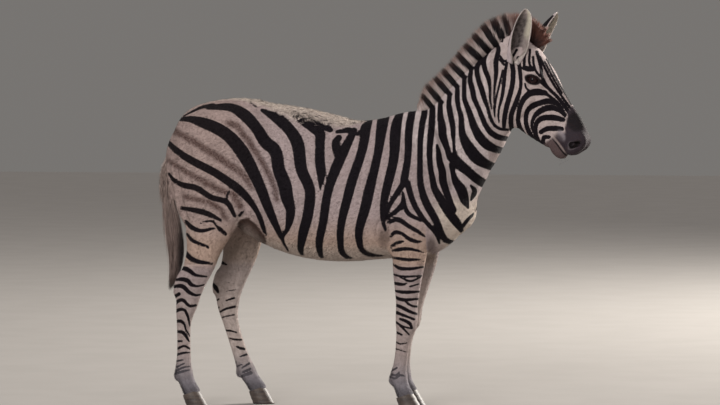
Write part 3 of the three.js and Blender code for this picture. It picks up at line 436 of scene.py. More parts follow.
HEAD_MARKS = [
    [(84.4, 152.2, 1.8), (85, 147.8, 2), (84.8, 143.4, 2), (81.6, 130.2, 2), (81, 125.8, 1.8),
     (81, 123.2, 1.3)],
    [(87.2, 154, 1.5), (88.2, 146, 1.5), (88.4, 142.6, 1.3), (86, 133.8, 2), (84.4, 129.8, 2),
     (84, 125.8, 2), (84.4, 122.4, 1.8)],
    [(79.2, 154.8, 0.9), (81, 152.6, 0.9), (83.2, 153.2, 0.9), (86.6, 157.6, 0.9)],
    [(79.2, 153.2, 0.9), (81.4, 151, 0.9), (83.2, 153.2, 0.9)],
    [(99, 138.6, 2.2), (95, 139, 2.9), (92, 138.2, 2.6), (89.8, 136, 2.2), (88.2, 132.8, 2),
     (87.4, 129.4, 1.8), (87.2, 126.2, 1.8), (88, 123.2, 2), (89.6, 120.6, 1.8)],
    [(99, 138.6, 1.1), (104.2, 134.6, 1.1), (106.4, 132, 1.1)],
    [(108.2, 129, 0.7), (106, 132, 1.1), (103.4, 134.2, 1.8), (100.4, 135, 2.4), (96.8, 134.2, 2.2),
     (93.8, 133, 2.4), (91.6, 131.2, 2), (90.6, 127.6, 1.8), (91, 124, 1.8), (92.4, 120.6, 1.8),
     (94.2, 118, 1.5)],
    [(107.8, 128.4, 0.9), (105.6, 130.6, 1.5), (102.6, 132, 2.2), (96, 130, 2.2), (94, 127.6, 1.5),
     (93.2, 124.6, 1.1), (93.8, 121.4, 0.7)],
    [(107, 126.8, 1.8), (103.8, 127.6, 2.4), (100.4, 127.8, 2.4), (97.2, 127.2, 2.2), (95.2, 125, 1.8),
     (94.8, 121.8, 1.8), (95.4, 118.8, 1.8), (97.2, 115.8, 1.5)],
    [(106.4, 122.8, 1.8), (103, 123, 2.2), (99.8, 122.8, 2), (97.2, 121.4, 1.8)],
    [(100.8, 119.2, 1.3), (98.6, 119, 1.8), (98.2, 117, 1.5), (99.4, 114.8, 1.3)],
    [(101.6, 117.4, 0.9), (100.8, 116.2, 1.3)],
    [(91, 159.8, 1.1), (90.2, 156.6, 1.1), (89.8, 150.4, 1.1)],
    [(92.4, 157.6, 0.9), (92.6, 150.4, 0.9), (94.2, 148.8, 0.9)],
    [(93.8, 154.4, 0.9), (94, 151.4, 0.9), (95, 148.2, 0.9), (96.8, 146, 0.9)],
    [(95.4, 156.6, 1.3), (97.2, 149.6, 1.3), (97.6, 146, 1.3), (99.4, 142.2, 1.3), (104.8, 136.4, 1.3),
     (109.6, 129.8, 1.3)],
    [(96.8, 154.4, 0.9), (101.6, 144.4, 0.9), (105.6, 138.2, 0.9), (110.4, 131.6, 0.9)],
    [(99, 152.2, 0.7), (102.6, 145.2, 0.7), (106.4, 138.6, 0.7)],
    [(99.6, 153.6, 0.5), (103.5, 146.0, 0.6), (107.3, 139.2, 0.6), (110.6, 133.6, 0.5)],
    [(89.8, 149.6, 1.8), (91.6, 149.2, 2.2), (93.8, 148.8, 1.3)],
    [(90.2, 142.6, 0.7), (91, 140.4, 0.7), (92.8, 139.4, 0.7)],
    [(96.8, 143.8, 1.3), (107, 134.2, 0.9), (109.2, 131.2, 0.9)],
]
MANE_MARKS = [
    [(45.0, 137.5, 1.8), (49.8, 131.8, 2.2)],
    [(46.8, 142, 2.0), (53.5, 134.2, 2.4)],
    [(50.4, 145.4, 2.1), (57.3, 137.8, 2.4)],
    [(53.8, 148.6, 2.2), (60.6, 141, 2.4)],
    [(57, 152, 2.2), (64, 145, 2.4)],
    [(60.2, 155.8, 2.4), (66.8, 149.2, 2.6)],
    [(63.8, 159.6, 2.6), (70.6, 153.4, 2.8)],
    [(67.4, 164, 2.8), (74, 157, 2.8)],
    [(71.2, 168.6, 3.0), (77.4, 160, 2.8)],
    [(75.6, 171.6, 3.0), (80.4, 162.5, 3.4)],
    [(80.4, 173.4, 2.0), (83.4, 164, 2.4)],
]
HIND_MARKS = [
    [(-61.6, 61.2, 1.3), (-59.8, 61.4, 2.2), (-57.2, 60.2, 2.2), (-55.4, 58.8, 1.8), (-49.8, 57.8, 0.9)],
    [(-63.4, 56.4, 1.3), (-60.2, 56.6, 2.2), (-58, 55.8, 2.2), (-56.8, 54.4, 2), (-54.2, 53.6, 1.3),
     (-51, 54.2, 0.9)],
    [(-65.2, 53.2, 1.3), (-60.8, 53.6, 2.2), (-56.8, 50.4, 1.8), (-54.2, 49.6, 1.3), (-52.4, 50, 0.9)],
    [(-64.2, 48.8, 1.8), (-62, 50.2, 1.8)],
    [(-64.2, 44.8, 1.3), (-63, 46.6, 1.8), (-60.8, 47.6, 1.8), (-57.2, 44.8, 1.5), (-54.6, 45.2, 1.3)],
    [(-63.8, 42.2, 1.3), (-62, 43.2, 1.8), (-59.8, 43.2, 1.5), (-58.6, 41.4, 1.5), (-57.2, 36, 0.9)],
    [(-63.4, 38, 1.3), (-61.2, 38.2, 1.8), (-59.8, 37, 1.3), (-59, 34.4, 1.1), (-57.2, 31.6, 0.9)],
    [(-63, 33.6, 1.3), (-60.8, 33.4, 1.8), (-57.6, 29.4, 1.1)],
    [(-63, 29.4, 1.3), (-60.8, 29.4, 1.1)],
    [(-63, 26, 1.3), (-59.4, 27.2, 1.3), (-57.2, 26, 1.1)],
    [(-63, 23.4, 1.3), (-60.2, 24.2, 1.3), (-57.2, 24.4, 0.9)],
    [(-63, 20.6, 1.1), (-60.2, 21.2, 0.9)],
    [(-63, 18, 1.1), (-59.8, 19.6, 0.9)],
    [(-63.4, 16.2, 1.1), (-60.2, 17.8, 1.1), (-57.2, 18.4, 0.7)],
    [(-63.8, 15, 1.1), (-59.8, 16.2, 1.3), (-57.2, 16.8, 0.7)],
]
HIND_INNER_MARKS = [
    [(-44.4, 64.6, 2.2), (-41, 63, 0.9)],
    [(-47, 54.6, 1.3), (-45.8, 52.8, 2.2), (-44.8, 51, 1.3)],
    [(-47, 46.2, 0.9), (-44.4, 48, 0.9)],
    [(-46.6, 41.8, 0.9), (-44.4, 44.4, 0.9)],
    [(-42.2, 55.6, 0.4), (-37.8, 54.6, 0.4)],
    [(-41.4, 51.4, 0.7), (-37, 52, 0.7)],
    [(-41.4, 47.2, 0.9), (-37.8, 48.4, 1.3)],
    [(-44.8, 41.8, 0.9), (-41.4, 43.6, 1.3), (-37.4, 44.6, 1.3)],
    [(-45.4, 38.8, 0.9), (-41.8, 40.2, 0.9), (-37.8, 41, 0.9)],
    [(-43.2, 34, 1.1), (-39.6, 34, 1.1), (-36.6, 33.2, 0.9)],
    [(-40, 30.8, 0.7), (-37.8, 30.2, 1.1), (-34.4, 30, 1.1)],
    [(-36.6, 27, 1.1), (-34.8, 26.2, 1.5), (-33, 26, 1.3)],
    [(-35.2, 22.6, 0.9), (-32.2, 23.6, 1.3)],
    [(-38.2, 19.4, 1.3), (-37, 20.2, 0.9)],
    [(-37, 18, 0.9), (-34.4, 19.2, 0.9)],
    [(-34.4, 17.6, 0.9), (-31.2, 19.6, 1.3)],
    [(-33.8, 15.8, 1.3), (-30.8, 17.2, 1.3)],
    [(-34.4, 14, 1.3), (-30.4, 15.4, 1.8)],
]
FORE_MARKS = [
    [(31.8, 69, 1.3), (35.2, 69.8, 2), (38.8, 70, 1.8), (45.4, 68.6, 1.1)],
    [(31.6, 66.2, 1.3), (38.8, 65.2, 1.8), (43.2, 65.2, 1.3), (45.8, 64.6, 0.9)],
    [(32.2, 63.2, 1.1), (34.8, 61.6, 1.8), (38.2, 61.2, 1.8), (45.4, 62, 1.1)],
    [(32.2, 58.8, 1.1), (35.2, 58, 1.3), (44.8, 58.2, 0.9)],
    [(35.2, 57.6, 0.9), (39.6, 55.8, 1.3), (44, 57.4, 0.9)],
    [(32.2, 55, 1.3), (34.4, 54.6, 1.8), (37, 54.4, 1.3), (38.2, 55, 0.9)],
    [(39.6, 53.4, 1.1), (43.6, 54.6, 0.9)],
    [(32.6, 51.6, 1.1), (36, 51, 1.8), (44, 51.2, 1.1)],
    [(32.6, 49.2, 1.3), (34.8, 48, 1.8), (43.6, 48, 1.1)],
    [(37.4, 47, 0.9), (38.8, 45.8, 1.3), (41, 44.8, 1.3), (43.2, 44.6, 1.1)],
    [(32.6, 45.6, 1.3), (35.2, 44.6, 1.8), (41, 41.8, 1.5), (43.2, 41.2, 1.1)],
    [(32.6, 42.4, 1.8), (41.4, 39, 1.3)],
    [(35.2, 39.2, 1.3), (37.8, 38.2, 1.8), (39.6, 37, 1.8), (40.4, 35.2, 1.3)],
    [(32.6, 38.2, 1.3), (37.4, 35.6, 1.1), (40, 35, 1.1)],
    [(33.4, 37.8, 0.9), (36, 35.6, 1.3), (39.2, 32.2, 0.9)],
    [(33.4, 33.4, 1.3), (36, 32.2, 1.1)],
    [(33, 29.2, 0.9), (35.2, 28.2, 0.9), (38.2, 28.6, 0.9)],
    [(33, 26.2, 0.9), (37.8, 24.6, 0.7)],
    [(31.2, 16.2, 0.9), (33.8, 17.6, 1.1)],
    [(31.2, 15, 1.1), (33, 14.4, 1.1), (34.8, 15.6, 1.1)],
    [(30.8, 13.6, 1.1), (33, 13, 1.3), (35.2, 14.4, 1.3), (37.4, 14, 0.7)],
]

# ---------------------------------------------------------------- vectors and curves

# Fields stop counting at FAR, and are level inside this share of an oval's depth.
FAR = 14.0
DEEP = 0.2
BLOCK_SIZE = 28.0


def unit(vectors):
    return vectors / np.maximum(np.linalg.norm(vectors, axis=-1, keepdims=True), 1e-9)


def smooth(low, high, value):
    t = np.clip((value - low) / (high - low), 0, 1)
    return t * t * (3 - 2 * t)


def mix(a, b, share):
    return np.asarray(a, float) + (np.asarray(b, float) - a) * share


def blend(a, b, k):
    h = np.maximum(k - np.abs(a - b), 0) / k
    return np.minimum(a, b) - h * h * k / 4


def carve(a, b, k):
    return -blend(-a, b, k)


def refine(rows, steps):
    """Rows on a smooth curve through the given ones, `steps` for each."""
    rows = np.array(rows, float)
    padded = np.vstack([rows[:1], rows, rows[-1:]])
    out = []
    for i in range(len(rows) - 1):
        a, b, c, d = padded[i : i + 4]
        for j in range(steps):
            t = j / steps
            out.append(b + 0.5 * t * (c - a + t * (2 * a - 5 * b + 4 * c - d + t * (3 * (b - c) + d - a))))
    out.append(rows[-1])
    return np.array(out)


# ---------------------------------------------------------------- fields


def ball_round(points):
    low, high = points.min(0), points.max(0)
    return (low + high) / 2, np.linalg.norm(high - low) / 2


def by_block(field):
    """The same field, worked out for one block of space at a time, which skips what lies far from it."""

    def blocked(points):
        keys = np.floor(points / BLOCK_SIZE).astype(int) @ [1, 1000, 1000000]
        order = np.argsort(keys, kind="stable")
        starts = np.nonzero(np.diff(keys[order], prepend=keys.min() - 1))[0]
        value = np.empty(len(points))
        for group in np.split(order, starts[1:]):
            value[group] = field(points[group])
        return value

    return blocked


def sweep(rows, power):
    """Distance to a solid through oval sections, as a function of points."""
    full = refine([list(r) + [0] * (6 - len(r)) for r in rows], SWEEP_STEPS)
    start, end = full[:-1], full[1:]
    run = end[:, :3] - start[:, :3]
    axis = unit(run)
    side = unit(np.array([0, 1.0, 0]) - axis * axis[:, 1:2])
    up = np.cross(axis, side)
    span = (run**2).sum(1)
    middle = (start[:, :3] + end[:, :3]) / 2
    widest = np.maximum.reduce([start[:, 3], end[:, 3], start[:, 4] * 1.4, end[:, 4] * 1.4])
    reach = np.sqrt(span) / 2 + widest

    def field(points):
        best = np.full(len(points), FAR)
        centre, radius = ball_round(points)
        gaps = np.linalg.norm(middle - centre, axis=1) - reach
        for i in np.argsort(gaps):
            if gaps[i] - radius > min(FAR, best.max()):
                continue
            away = points - middle[i]
            near = np.nonzero(np.sqrt((away * away).sum(1)) - reach[i] < best)[0]
            if not len(near):
                continue
            p = points[near]
            t = np.clip((p - start[i, :3]) @ run[i] / span[i], 0, 1)
            row = start[i] + t[:, None] * (end[i] - start[i])
            r = p - row[:, :3]
            deep = row[:, 3]
            u = r @ up[i]
            wide = row[:, 4] * (1 - row[:, 5] * np.clip(u / deep, -1, 1))
            cap = np.minimum(deep, wide)
            q = np.abs(np.stack([u / deep, r @ side[i] / wide, r @ axis[i] / cap]))
            total = (q**power).sum(0) ** (1 / power)
            total = np.maximum(total, 1e-6)
            rates = q ** (power - 1) / np.stack([deep, wide, cap])
            slope = total ** (1 - power) * np.sqrt((rates**2).sum(0))
            value = np.where(total < DEEP, -(1 - DEEP) * cap, (total - 1) / np.maximum(slope, 1e-6))
            best[near] = np.minimum(best[near], value)
        return best

    return field


def lump(centre, radii, tilt):
    """Distance to an oval that is tilted in the upright plane, in degrees."""
    c, s = math.cos(math.radians(tilt)), math.sin(math.radians(tilt))
    centre = np.array(centre, float)
    radii = np.array(radii, float)

    def field(points):
        value = np.full(len(points), FAR)
        middle, radius = ball_round(points)
        if np.linalg.norm(middle - centre) - radius > radii.max() + FAR:
            return value
        away = points - centre
        near = np.nonzero(np.sqrt((away * away).sum(1)) < radii.max() + FAR)[0]
        d = away[near]
        d = np.stack([d[:, 0] * c + d[:, 2] * s, d[:, 1], d[:, 2] * c - d[:, 0] * s], 1)
        q = np.sqrt(((d / radii) ** 2).sum(1))
        rate = np.sqrt(((d / radii**2) ** 2).sum(1))
        inner = -(1 - DEEP) * radii.min()
        value[near] = np.where(q < DEEP, inner, (q - 1) * q / np.maximum(rate, 1e-6))
        return value

    return field


def chain(rows):
    """Distance to a round cord through rows of [x, y, z, radius]."""
    full = refine(rows, CORD_STEPS)
    start, end = full[:-1], full[1:]
    low = full[:, :3].min(0) - 4
    high = full[:, :3].max(0) + 4

    def field(points):
        value = np.full(len(points), FAR)
        near = np.nonzero(((points > low) & (points < high)).all(1))[0]
        if not len(near):
            return value
        p = points[near]
        best = np.full(len(near), FAR)
        for a, b in zip(start, end):
            run = b[:3] - a[:3]
            t = np.clip((p - a[:3]) @ run / max(run @ run, 1e-9), 0, 1)
            gap = np.linalg.norm(p - a[:3] - t[:, None] * run, axis=1)
            best = np.minimum(best, gap - a[3] - t * (b[3] - a[3]))
        value[near] = best
        return value

    return field


def mirrored(points):
    return points * [1, 0, 1] + np.abs(points) * [0, 1, 0]


# ---------------------------------------------------------------- the head's own frame

# Its places are [along the face, out to the left, up].


def turned(x, y):
    c, s = math.cos(HEAD_YAW), math.sin(HEAD_YAW)
    return [c * x + s * y, -s * x + c * y]


HEAD_AXES = np.array(
    [
        turned(math.cos(HEAD_PITCH), 0) + [-math.sin(HEAD_PITCH)],
        turned(0, 1) + [0],
        turned(math.sin(HEAD_PITCH), 0) + [math.cos(HEAD_PITCH)],
    ]
)


def in_head(points):
    return (points - POLL) @ HEAD_AXES.T


def from_head(points):
    return np.asarray(points, float) @ HEAD_AXES + POLL


# ---------------------------------------------------------------- the animal's field


def ovals(rows):
    """Fields with how softly each one joins, from rows of [centre, radii, tilt, softness]."""
    return [(lump(centre, radii, tilt), k) for centre, radii, tilt, k in rows]


def cords(rows):
    return [(chain(line), k) for line, k in rows]


def on_eye(plan):
    """The lids or the slit between them, as a list of one field."""
    return [(lump(EYE + plan["shift"], plan["radii"], plan["tilt"]), plan["blend"])]


def limb_grooves():
    """Cords along the sides of every cannon, and of the hind gaskins."""
    rows = []
    for limb in LIMBS.values():
        for plan in (TENDON, GASKIN):
            if plan is GASKIN and limb[0][0] > 0:
                continue
            span = [r for r in limb if plan["from"] < r[2] < plan["to"]]
            for side in (-1, 1):
                cord = [
                    [x - plan["behind"] * deep, y + side * wide, z, plan["radius"]]
                    for x, y, z, deep, wide in span
                ]
                rows.append((cord, plan["blend"]))
    return cords(rows)


def ear_roots():
    rows = []
    for ear in EARS.values():
        rows.append(([[*mix(ear["base"], ear["tip"], share), radius] for share, radius in EAR_ROOT], 2.0))
    return cords(rows)


def worked(join, distance, fields, points):
    """The distance with each field blended in or carved out in turn."""
    for field, k in fields:
        distance = join(distance, field(points), k)
    return distance


skull = sweep(SKULL, 2.3)
jaw = sweep(JAW, 2.2)
trunk = sweep(TRUNK, 2.1)
neck = sweep(NECK, 2.1)
head_added = ovals(HEAD_LUMPS) + cords(HEAD_RIDGES) + on_eye(LID)
head_cut = cords(HEAD_GROOVES) + ovals(NOSTRILS) + on_eye(SLIT)
muscles = ovals(PAIRED_LUMPS)
limbs_added = [(sweep(rows, 2.2), 3.5) for rows in LIMBS.values()] + ovals(POINTS)
body_ridges = cords(BODY_RIDGES)
body_grooves = cords(BODY_GROOVES)
limbs_cut = limb_grooves() + ovals([FLANK_HOLLOW]) + cords([(FLANK_FOLD, 0.8)])
tail_root = [(sweep(DOCK, 2.0), 1.5)]


def head_field(points):
    value = np.full(len(points), FAR)
    h = in_head(points)
    near = np.nonzero((h[:, 0] > -16) & (h[:, 0] < 66) & (np.abs(h[:, 1]) < 24) & (np.abs(h[:, 2]) < 40))[0]
    if len(near):
        q = mirrored(h[near])
        value[near] = worked(carve, worked(blend, blend(skull(q), jaw(q), 3), head_added, q), head_cut, q)
    return value


head_and_ears = [(head_field, 3.5)] + ear_roots()


def body_field(points):
    both = mirrored(points)
    d = worked(blend, blend(trunk(points), neck(points), 7), muscles, both)
    d = worked(blend, d, limbs_added, points)
    d = worked(blend, d, body_ridges, both)
    d = worked(carve, d, body_grooves, both)
    d = worked(carve, d, limbs_cut, points)
    return worked(blend, d, tail_root + head_and_ears, points)


def head_share(points):
    """1 on the head and throat, 0 on the body."""
    return smooth(-14, 0, in_head(points)[:, 0] * 0.8 + 0.25 * (points[:, 0] - HEAD_FROM))


def coat_depth(points):
    short = np.maximum(head_share(points), 1 - smooth(34, 66, points[:, 2]))
    return COAT_DEPTH + (SHORT_COAT_DEPTH - COAT_DEPTH) * short


def foot_plane(points):
    """Distance below the level where the skin ends, inside the hooves."""
    value = np.full(len(points), -FAR)
    for rows in LIMBS.values():
        foot = rows[-1]
        near = np.hypot(points[:, 0] - foot[0], points[:, 1] - foot[1]) < 12
        level = HOOF_TOP - 0.8 + HOOF_FALL * (points[:, 0] - foot[0])
        value[near] = (level - points[:, 2])[near]
    return value


@by_block
def skin_field(points):
    return np.maximum(body_field(points) + coat_depth(points), foot_plane(points))


def slope_of_skin(points, reach):
    """The skin field's value and slope from four points around each one."""
    corners = np.array([[1, -1, -1], [-1, -1, 1], [-1, 1, -1], [1, 1, 1]], float)
    values = np.array([skin_field(points + c * reach) for c in corners])
    return values.mean(0), np.einsum("kn,kd->nd", values, corners) / (4 * reach)


def settle(points, most, reach=0.05):
    """Points moved onto the skin's surface in two steps of `most` at the utmost."""
    for _ in range(2):
        value, slope = slope_of_skin(points, reach)
        step = value / np.maximum((slope**2).sum(1), 0.2)
        points = points - slope * np.clip(step, -most, most)[:, None]
    return points


# ---------------------------------------------------------------- the skin's mesh


def surface_of(field, low, high, cell):
    """Squares along the field's surface: one vertex in each grid cell that the surface crosses."""
    block = 4
    size = np.ceil((high - low) / cell).astype(int) // block * block + block + 1
    coarse = size // block + 1
    grid = np.stack(np.meshgrid(*[np.arange(n) for n in coarse], indexing="ij"), -1).reshape(-1, 3)
    middle = low + (grid * block + block / 2) * cell
    rough = field(middle)
    values = np.full(coarse * block, FAR, np.float32)
    blocks = values.reshape(coarse[0], block, coarse[1], block, coarse[2], block)
    deep = grid[rough < 0]
    blocks[deep[:, 0], :, deep[:, 1], :, deep[:, 2], :] = -FAR
    close = grid[np.abs(rough) < 6.0 * cell]
    inner = np.stack(np.meshgrid(*[np.arange(block)] * 3, indexing="ij"), -1).reshape(-1, 3)
    cells = (close[:, None] * block + inner).reshape(-1, 3)
    values[cells[:, 0], cells[:, 1], cells[:, 2]] = field(low + cells * cell)
    inside = values < 0
    size = np.array(values.shape)
    corners = [np.array([i >> 2 & 1, i >> 1 & 1, i & 1]) for i in range(8)]
    shown = [tuple(slice(c[a], size[a] - 1 + c[a]) for a in range(3)) for c in corners]
    count = sum(inside[s].astype(np.int8) for s in shown)
    owners = np.argwhere((count > 0) & (count < 8))
    total = np.zeros((len(owners), 3))
    hits = np.zeros(len(owners))
    for a in range(8):
        for axis in range(3):
            if corners[a][axis]:
                continue
            other = corners[a].copy()
            other[axis] = 1
            va = values[tuple((owners + corners[a]).T)]
            vb = values[tuple((owners + other).T)]
            crossed = (va < 0) != (vb < 0)
            share = np.where(crossed, va / np.where(crossed, va - vb, 1), 0)
            total += np.where(crossed[:, None], corners[a] + share[:, None] * (other - corners[a]), 0)
            hits += crossed
    vertices = low + (owners + total / hits[:, None]) * cell
    number = np.full(size, -1)
    number[tuple(owners.T)] = np.arange(len(owners))
    quads = []
    for axis in range(3):
        step = np.eye(3, dtype=int)
        u, w = step[(axis + 1) % 3], step[(axis + 2) % 3]
        first = inside[tuple(slice(0, size[a] - (a == axis)) for a in range(3))]
        second = inside[tuple(slice(int(a == axis), size[a]) for a in range(3))]
        for flip in (False, True):
            edges = np.argwhere((first & ~second) if not flip else (~first & second))
            edges = edges[(edges - u - w).min(1) >= 0]
            ring = [number[tuple((edges - o).T)] for o in (0 * u, u, u + w, w)]
            quads.append(np.stack(ring[::-1] if flip else ring, 1))
    quads = np.vstack(quads)
    return vertices, quads[(quads >= 0).all(1)]


def mesh_object(name, vertices, faces):
    """A mesh object from drawing coordinates."""
    mesh = bpy.data.meshes.new(name)
    mesh.from_pydata(to_frame(vertices).tolist(), [], faces)
    mesh.update()
    made = bpy.data.objects.new(name, mesh)
    bpy.context.scene.collection.objects.link(made)
    return made


# SHIFT turns the drawing's x into the frame's. It is read from the middle of the right eye.
EYE_MIDDLE = [(a + b) / 2 for a, b in zip(*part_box("eye_right"))]
SHIFT = EYE_MIDDLE[0] * 100 - from_head(EYE * [1, -1, 1])[0]


def to_frame(points):
    return (np.asarray(points, float) + [SHIFT, 0, 0]) / 100


def from_frame(points):
    return np.asarray(points, float) * 100 - [SHIFT, 0, 0]


def coordinates(mesh):
    co = np.zeros(len(mesh.vertices) * 3, np.float32)
    mesh.vertices.foreach_get("co", co)
    return from_frame(co.reshape(-1, 3))


def place(mesh, points):
    mesh.vertices.foreach_set("co", to_frame(points).astype(np.float32).ravel())
    mesh.update()


def finer(made, wanted, most):
    """Halves the edges whose two ends are both wanted, and lays the new points on the skin."""
    points = coordinates(made.data)
    chosen = wanted(points)
    before = len(points)
    bm = bmesh.new()
    bm.from_mesh(made.data)
    bm.verts.ensure_lookup_table()
    edges = [e for e in bm.edges if chosen[e.verts[0].index] and chosen[e.verts[1].index]]
    bmesh.ops.subdivide_edges(bm, edges=edges, cuts=1, use_grid_fill=True)
    bm.to_mesh(made.data)
    bm.free()
    points = coordinates(made.data)
    moved = wanted(points)
    moved[before:] = True
    points[moved] = settle(points[moved], most, reach=0.02)
    place(made.data, points)


# ---------------------------------------------------------------- the skin

SOCKETS = np.array([from_head(EYE * [1, side, 1]) for side in (-1, 1)])


def near_any(points, spots, reach):
    return np.min([np.linalg.norm(points - s, axis=1) for s in spots], axis=0) < reach


def neck_side(points):
    """Above zero in front of the line where the neck joins the trunk."""
    return 0.74 * (points[:, 0] - 37.4) + 0.67 * (points[:, 2] - 119)


def neck_head_or_legs(points):
    return (neck_side(points) > -14) | (points[:, 2] < 64)


def near_face_details(points):
    h = in_head(points)
    muzzle = (h[:, 0] > 43) & (points[:, 0] > HEAD_FROM)
    return near_any(points, SOCKETS, 5) | muzzle


def near_lids(points):
    return near_any(points, SOCKETS, 3.4)


def body_skin():
    low, high = np.array(SKIN_BOX)
    vertices, faces = surface_of(skin_field, low, high, CELL)
    made = mesh_object("skin", settle(vertices, 0.4), faces.tolist())
    for wanted, most in ((neck_head_or_legs, 0.3), (near_face_details, 0.15), (near_lids, 0.1)):
        finer(made, wanted, most)
    return made


skin = body_skin()


# ---------------------------------------------------------------- ears


def tube_faces(stations, around):
    """The squares between rings of points, each ring closed."""
    faces = []
    for low in range(0, stations * around, around):
        for i in range(around):
            j = (i + 1) % around
            faces.append([low + i, low + j, low + around + j, low + around + i])
    return faces


def ear_frame(ear):
    base, tip = np.array(ear["base"]), np.array(ear["tip"])
    length = np.linalg.norm(tip - base)
    axis = (tip - base) / length
    facing = np.array(ear["facing"])
    front = unit(facing - axis * (facing @ axis))
    return base, axis, length, front, np.cross(front, axis)


def ear_mesh(ear, stations=34, arcs=22):
    """Rings from root to tip: the outer wall, then the inner wall back again."""
    base, axis, length, front, across = ear_frame(ear)
    rings = []
    facts = []
    for i in range(stations + 1):
        t = i / stations
        grow = math.sin(math.pi / 2 * min(t / EAR["widest"], 1))
        past = max(t - EAR["widest"], 0) / (1 - EAR["widest"])
        fade = math.sqrt(1 - 0.99 * past**2.6)
        width = EAR["width"] * (EAR["root"] + (1 - EAR["root"]) * grow) * fade
        roll = math.radians(EAR["roll"][0] + (EAR["roll"][1] - EAR["roll"][0]) * math.sqrt(t))
        radius = width / math.sin(min(roll, math.pi / 2))
        back = base + axis * t * length - front * 1.6 * math.sin(math.pi * t)
        depth = min(t / EAR["hollow"], 1)
        thick = EAR["thick"] * (1 - 0.5 * t)
        inner = 0.15 * radius + (max(radius - thick, radius * 0.5) - 0.15 * radius) * depth
        angles = (np.arange(arcs + 1) / arcs - 0.5) * 2 * roll
        for wall, order in ((radius, 1), (inner, -1)):
            turned_angles = angles[::order]
            spread = across * np.sin(turned_angles)[:, None] * wall
            rings.append(back + spread + front * (radius - np.cos(turned_angles) * wall)[:, None])
            edge = turned_angles / roll
            facts.append(np.stack([np.full(arcs + 1, t), edge, np.full(arcs + 1, float(order < 0))], 1))
    n = 2 * (arcs + 1)
    faces = tube_faces(stations, n)
    last = stations * n
    for i in range(arcs):
        faces.append([i + 1, i, n - 1 - i, n - 2 - i])
        faces.append([last + i, last + i + 1, last + n - 2 - i, last + n - 1 - i])
    return np.vstack(rings), faces, np.vstack(facts)


def join_to_skin(shell):
    """Joins a closed shell to the skin as one solid, and removes the shell."""
    bm = bmesh.new()
    bm.from_mesh(shell.data)
    bmesh.ops.recalc_face_normals(bm, faces=bm.faces)
    bm.to_mesh(shell.data)
    bm.free()
    union = skin.modifiers.new("ear", "BOOLEAN")
    union.operation = "UNION"
    union.solver = "EXACT"
    union.object = shell
    bpy.context.view_layer.update()
    joined = bpy.data.meshes.new_from_object(skin.evaluated_get(bpy.context.evaluated_depsgraph_get()))
    skin.modifiers.clear()
    skin.data = joined
    bpy.data.objects.remove(shell)


ear_points = []
ear_facts = []
for side, ear in EARS.items():
    vertices, faces, facts = ear_mesh(ear)
    join_to_skin(mesh_object("ear_shell_" + side, vertices, faces))
    ear_points.extend(vertices)
    ear_facts.extend(facts)
ear_tree = kdtree.KDTree(len(ear_points))
for i, p in enumerate(ear_points):
    ear_tree.insert(p, i)
ear_tree.balance()


def ear_part(points):
    """For each point: is it on an ear, how far along it and round its cup, and is it inside the cup."""
    found = np.zeros((len(points), 4))
    close = np.nonzero((points[:, 2] > 146) & (points[:, 0] > 78))[0]
    for i in close:
        _, index, gap = ear_tree.find(points[i])
        if gap < 0.02:
            found[i] = [1, *ear_facts[index]]
    return found


# ---------------------------------------------------------------- markings


def side_view(points):
    """Places on the side view, forward and up, as the camera sees them."""
    r = points - (VIEW_TARGET - VIEW_AHEAD * VIEW_DISTANCE)
    scale = VIEW_DISTANCE / (r @ VIEW_AHEAD)
    forward = VIEW_CENTRE[0] + (r @ VIEW_RIGHT) * scale
    return np.stack([forward, VIEW_CENTRE[1] + (r @ np.cross(VIEW_RIGHT, VIEW_AHEAD)) * scale], 1)


def limb_centre(name, height):
    rows = np.array(LIMBS[name])[::-1]
    return np.interp(height, rows[:, 2], rows[:, 0])


def as_left_limb(points):
    """Points of both sides laid on the left one, the right legs' moved to where the left legs stand."""
    moved = points.copy()
    fore = points[:, 0] > 0
    right = points[:, 1] <= 0
    for kind, chosen in (("fore", fore), ("hind", ~fore)):
        take = chosen & right
        height = points[take, 2]
        gap = limb_centre(kind + "_left", height) - limb_centre(kind + "_right", height)
        moved[take, 0] += gap * (height < LEG_TOP)
    moved[:, 1] = np.abs(points[:, 1])
    return moved


def flank_of(points):
    """Points of both sides, laid on the right one."""
    return points * [1, 0, 1] - np.abs(points) * [0, 1, 0]


def smooth_line(rows):
    """A line through the rows without overshoot where they are unevenly spaced."""
    rows = np.array(rows, float)
    if len(rows) < 3:
        return rows
    chords = np.maximum(np.linalg.norm(np.diff(rows[:, :2], axis=0), axis=1), 1e-6)
    rates = np.diff(rows, axis=0) / chords[:, None]
    both = (chords[:-1] + chords[1:])[:, None]
    inner = (rates[:-1] * chords[1:, None] + rates[1:] * chords[:-1, None]) / both
    slopes = np.vstack([rates[:1], inner, rates[-1:]])
    out = []
    for i, chord in enumerate(chords):
        t = (np.arange(LINE_STEPS) / LINE_STEPS)[:, None]
        a, b, c, d = rows[i], slopes[i] * chord, rows[i + 1], slopes[i + 1] * chord
        first = (1 + 2 * t) * (1 - t) ** 2 * a + t * (1 - t) ** 2 * b
        out.append(first + t * t * (3 - 2 * t) * c - t * t * (1 - t) * d)
    return np.vstack(out + [rows[-1:]])


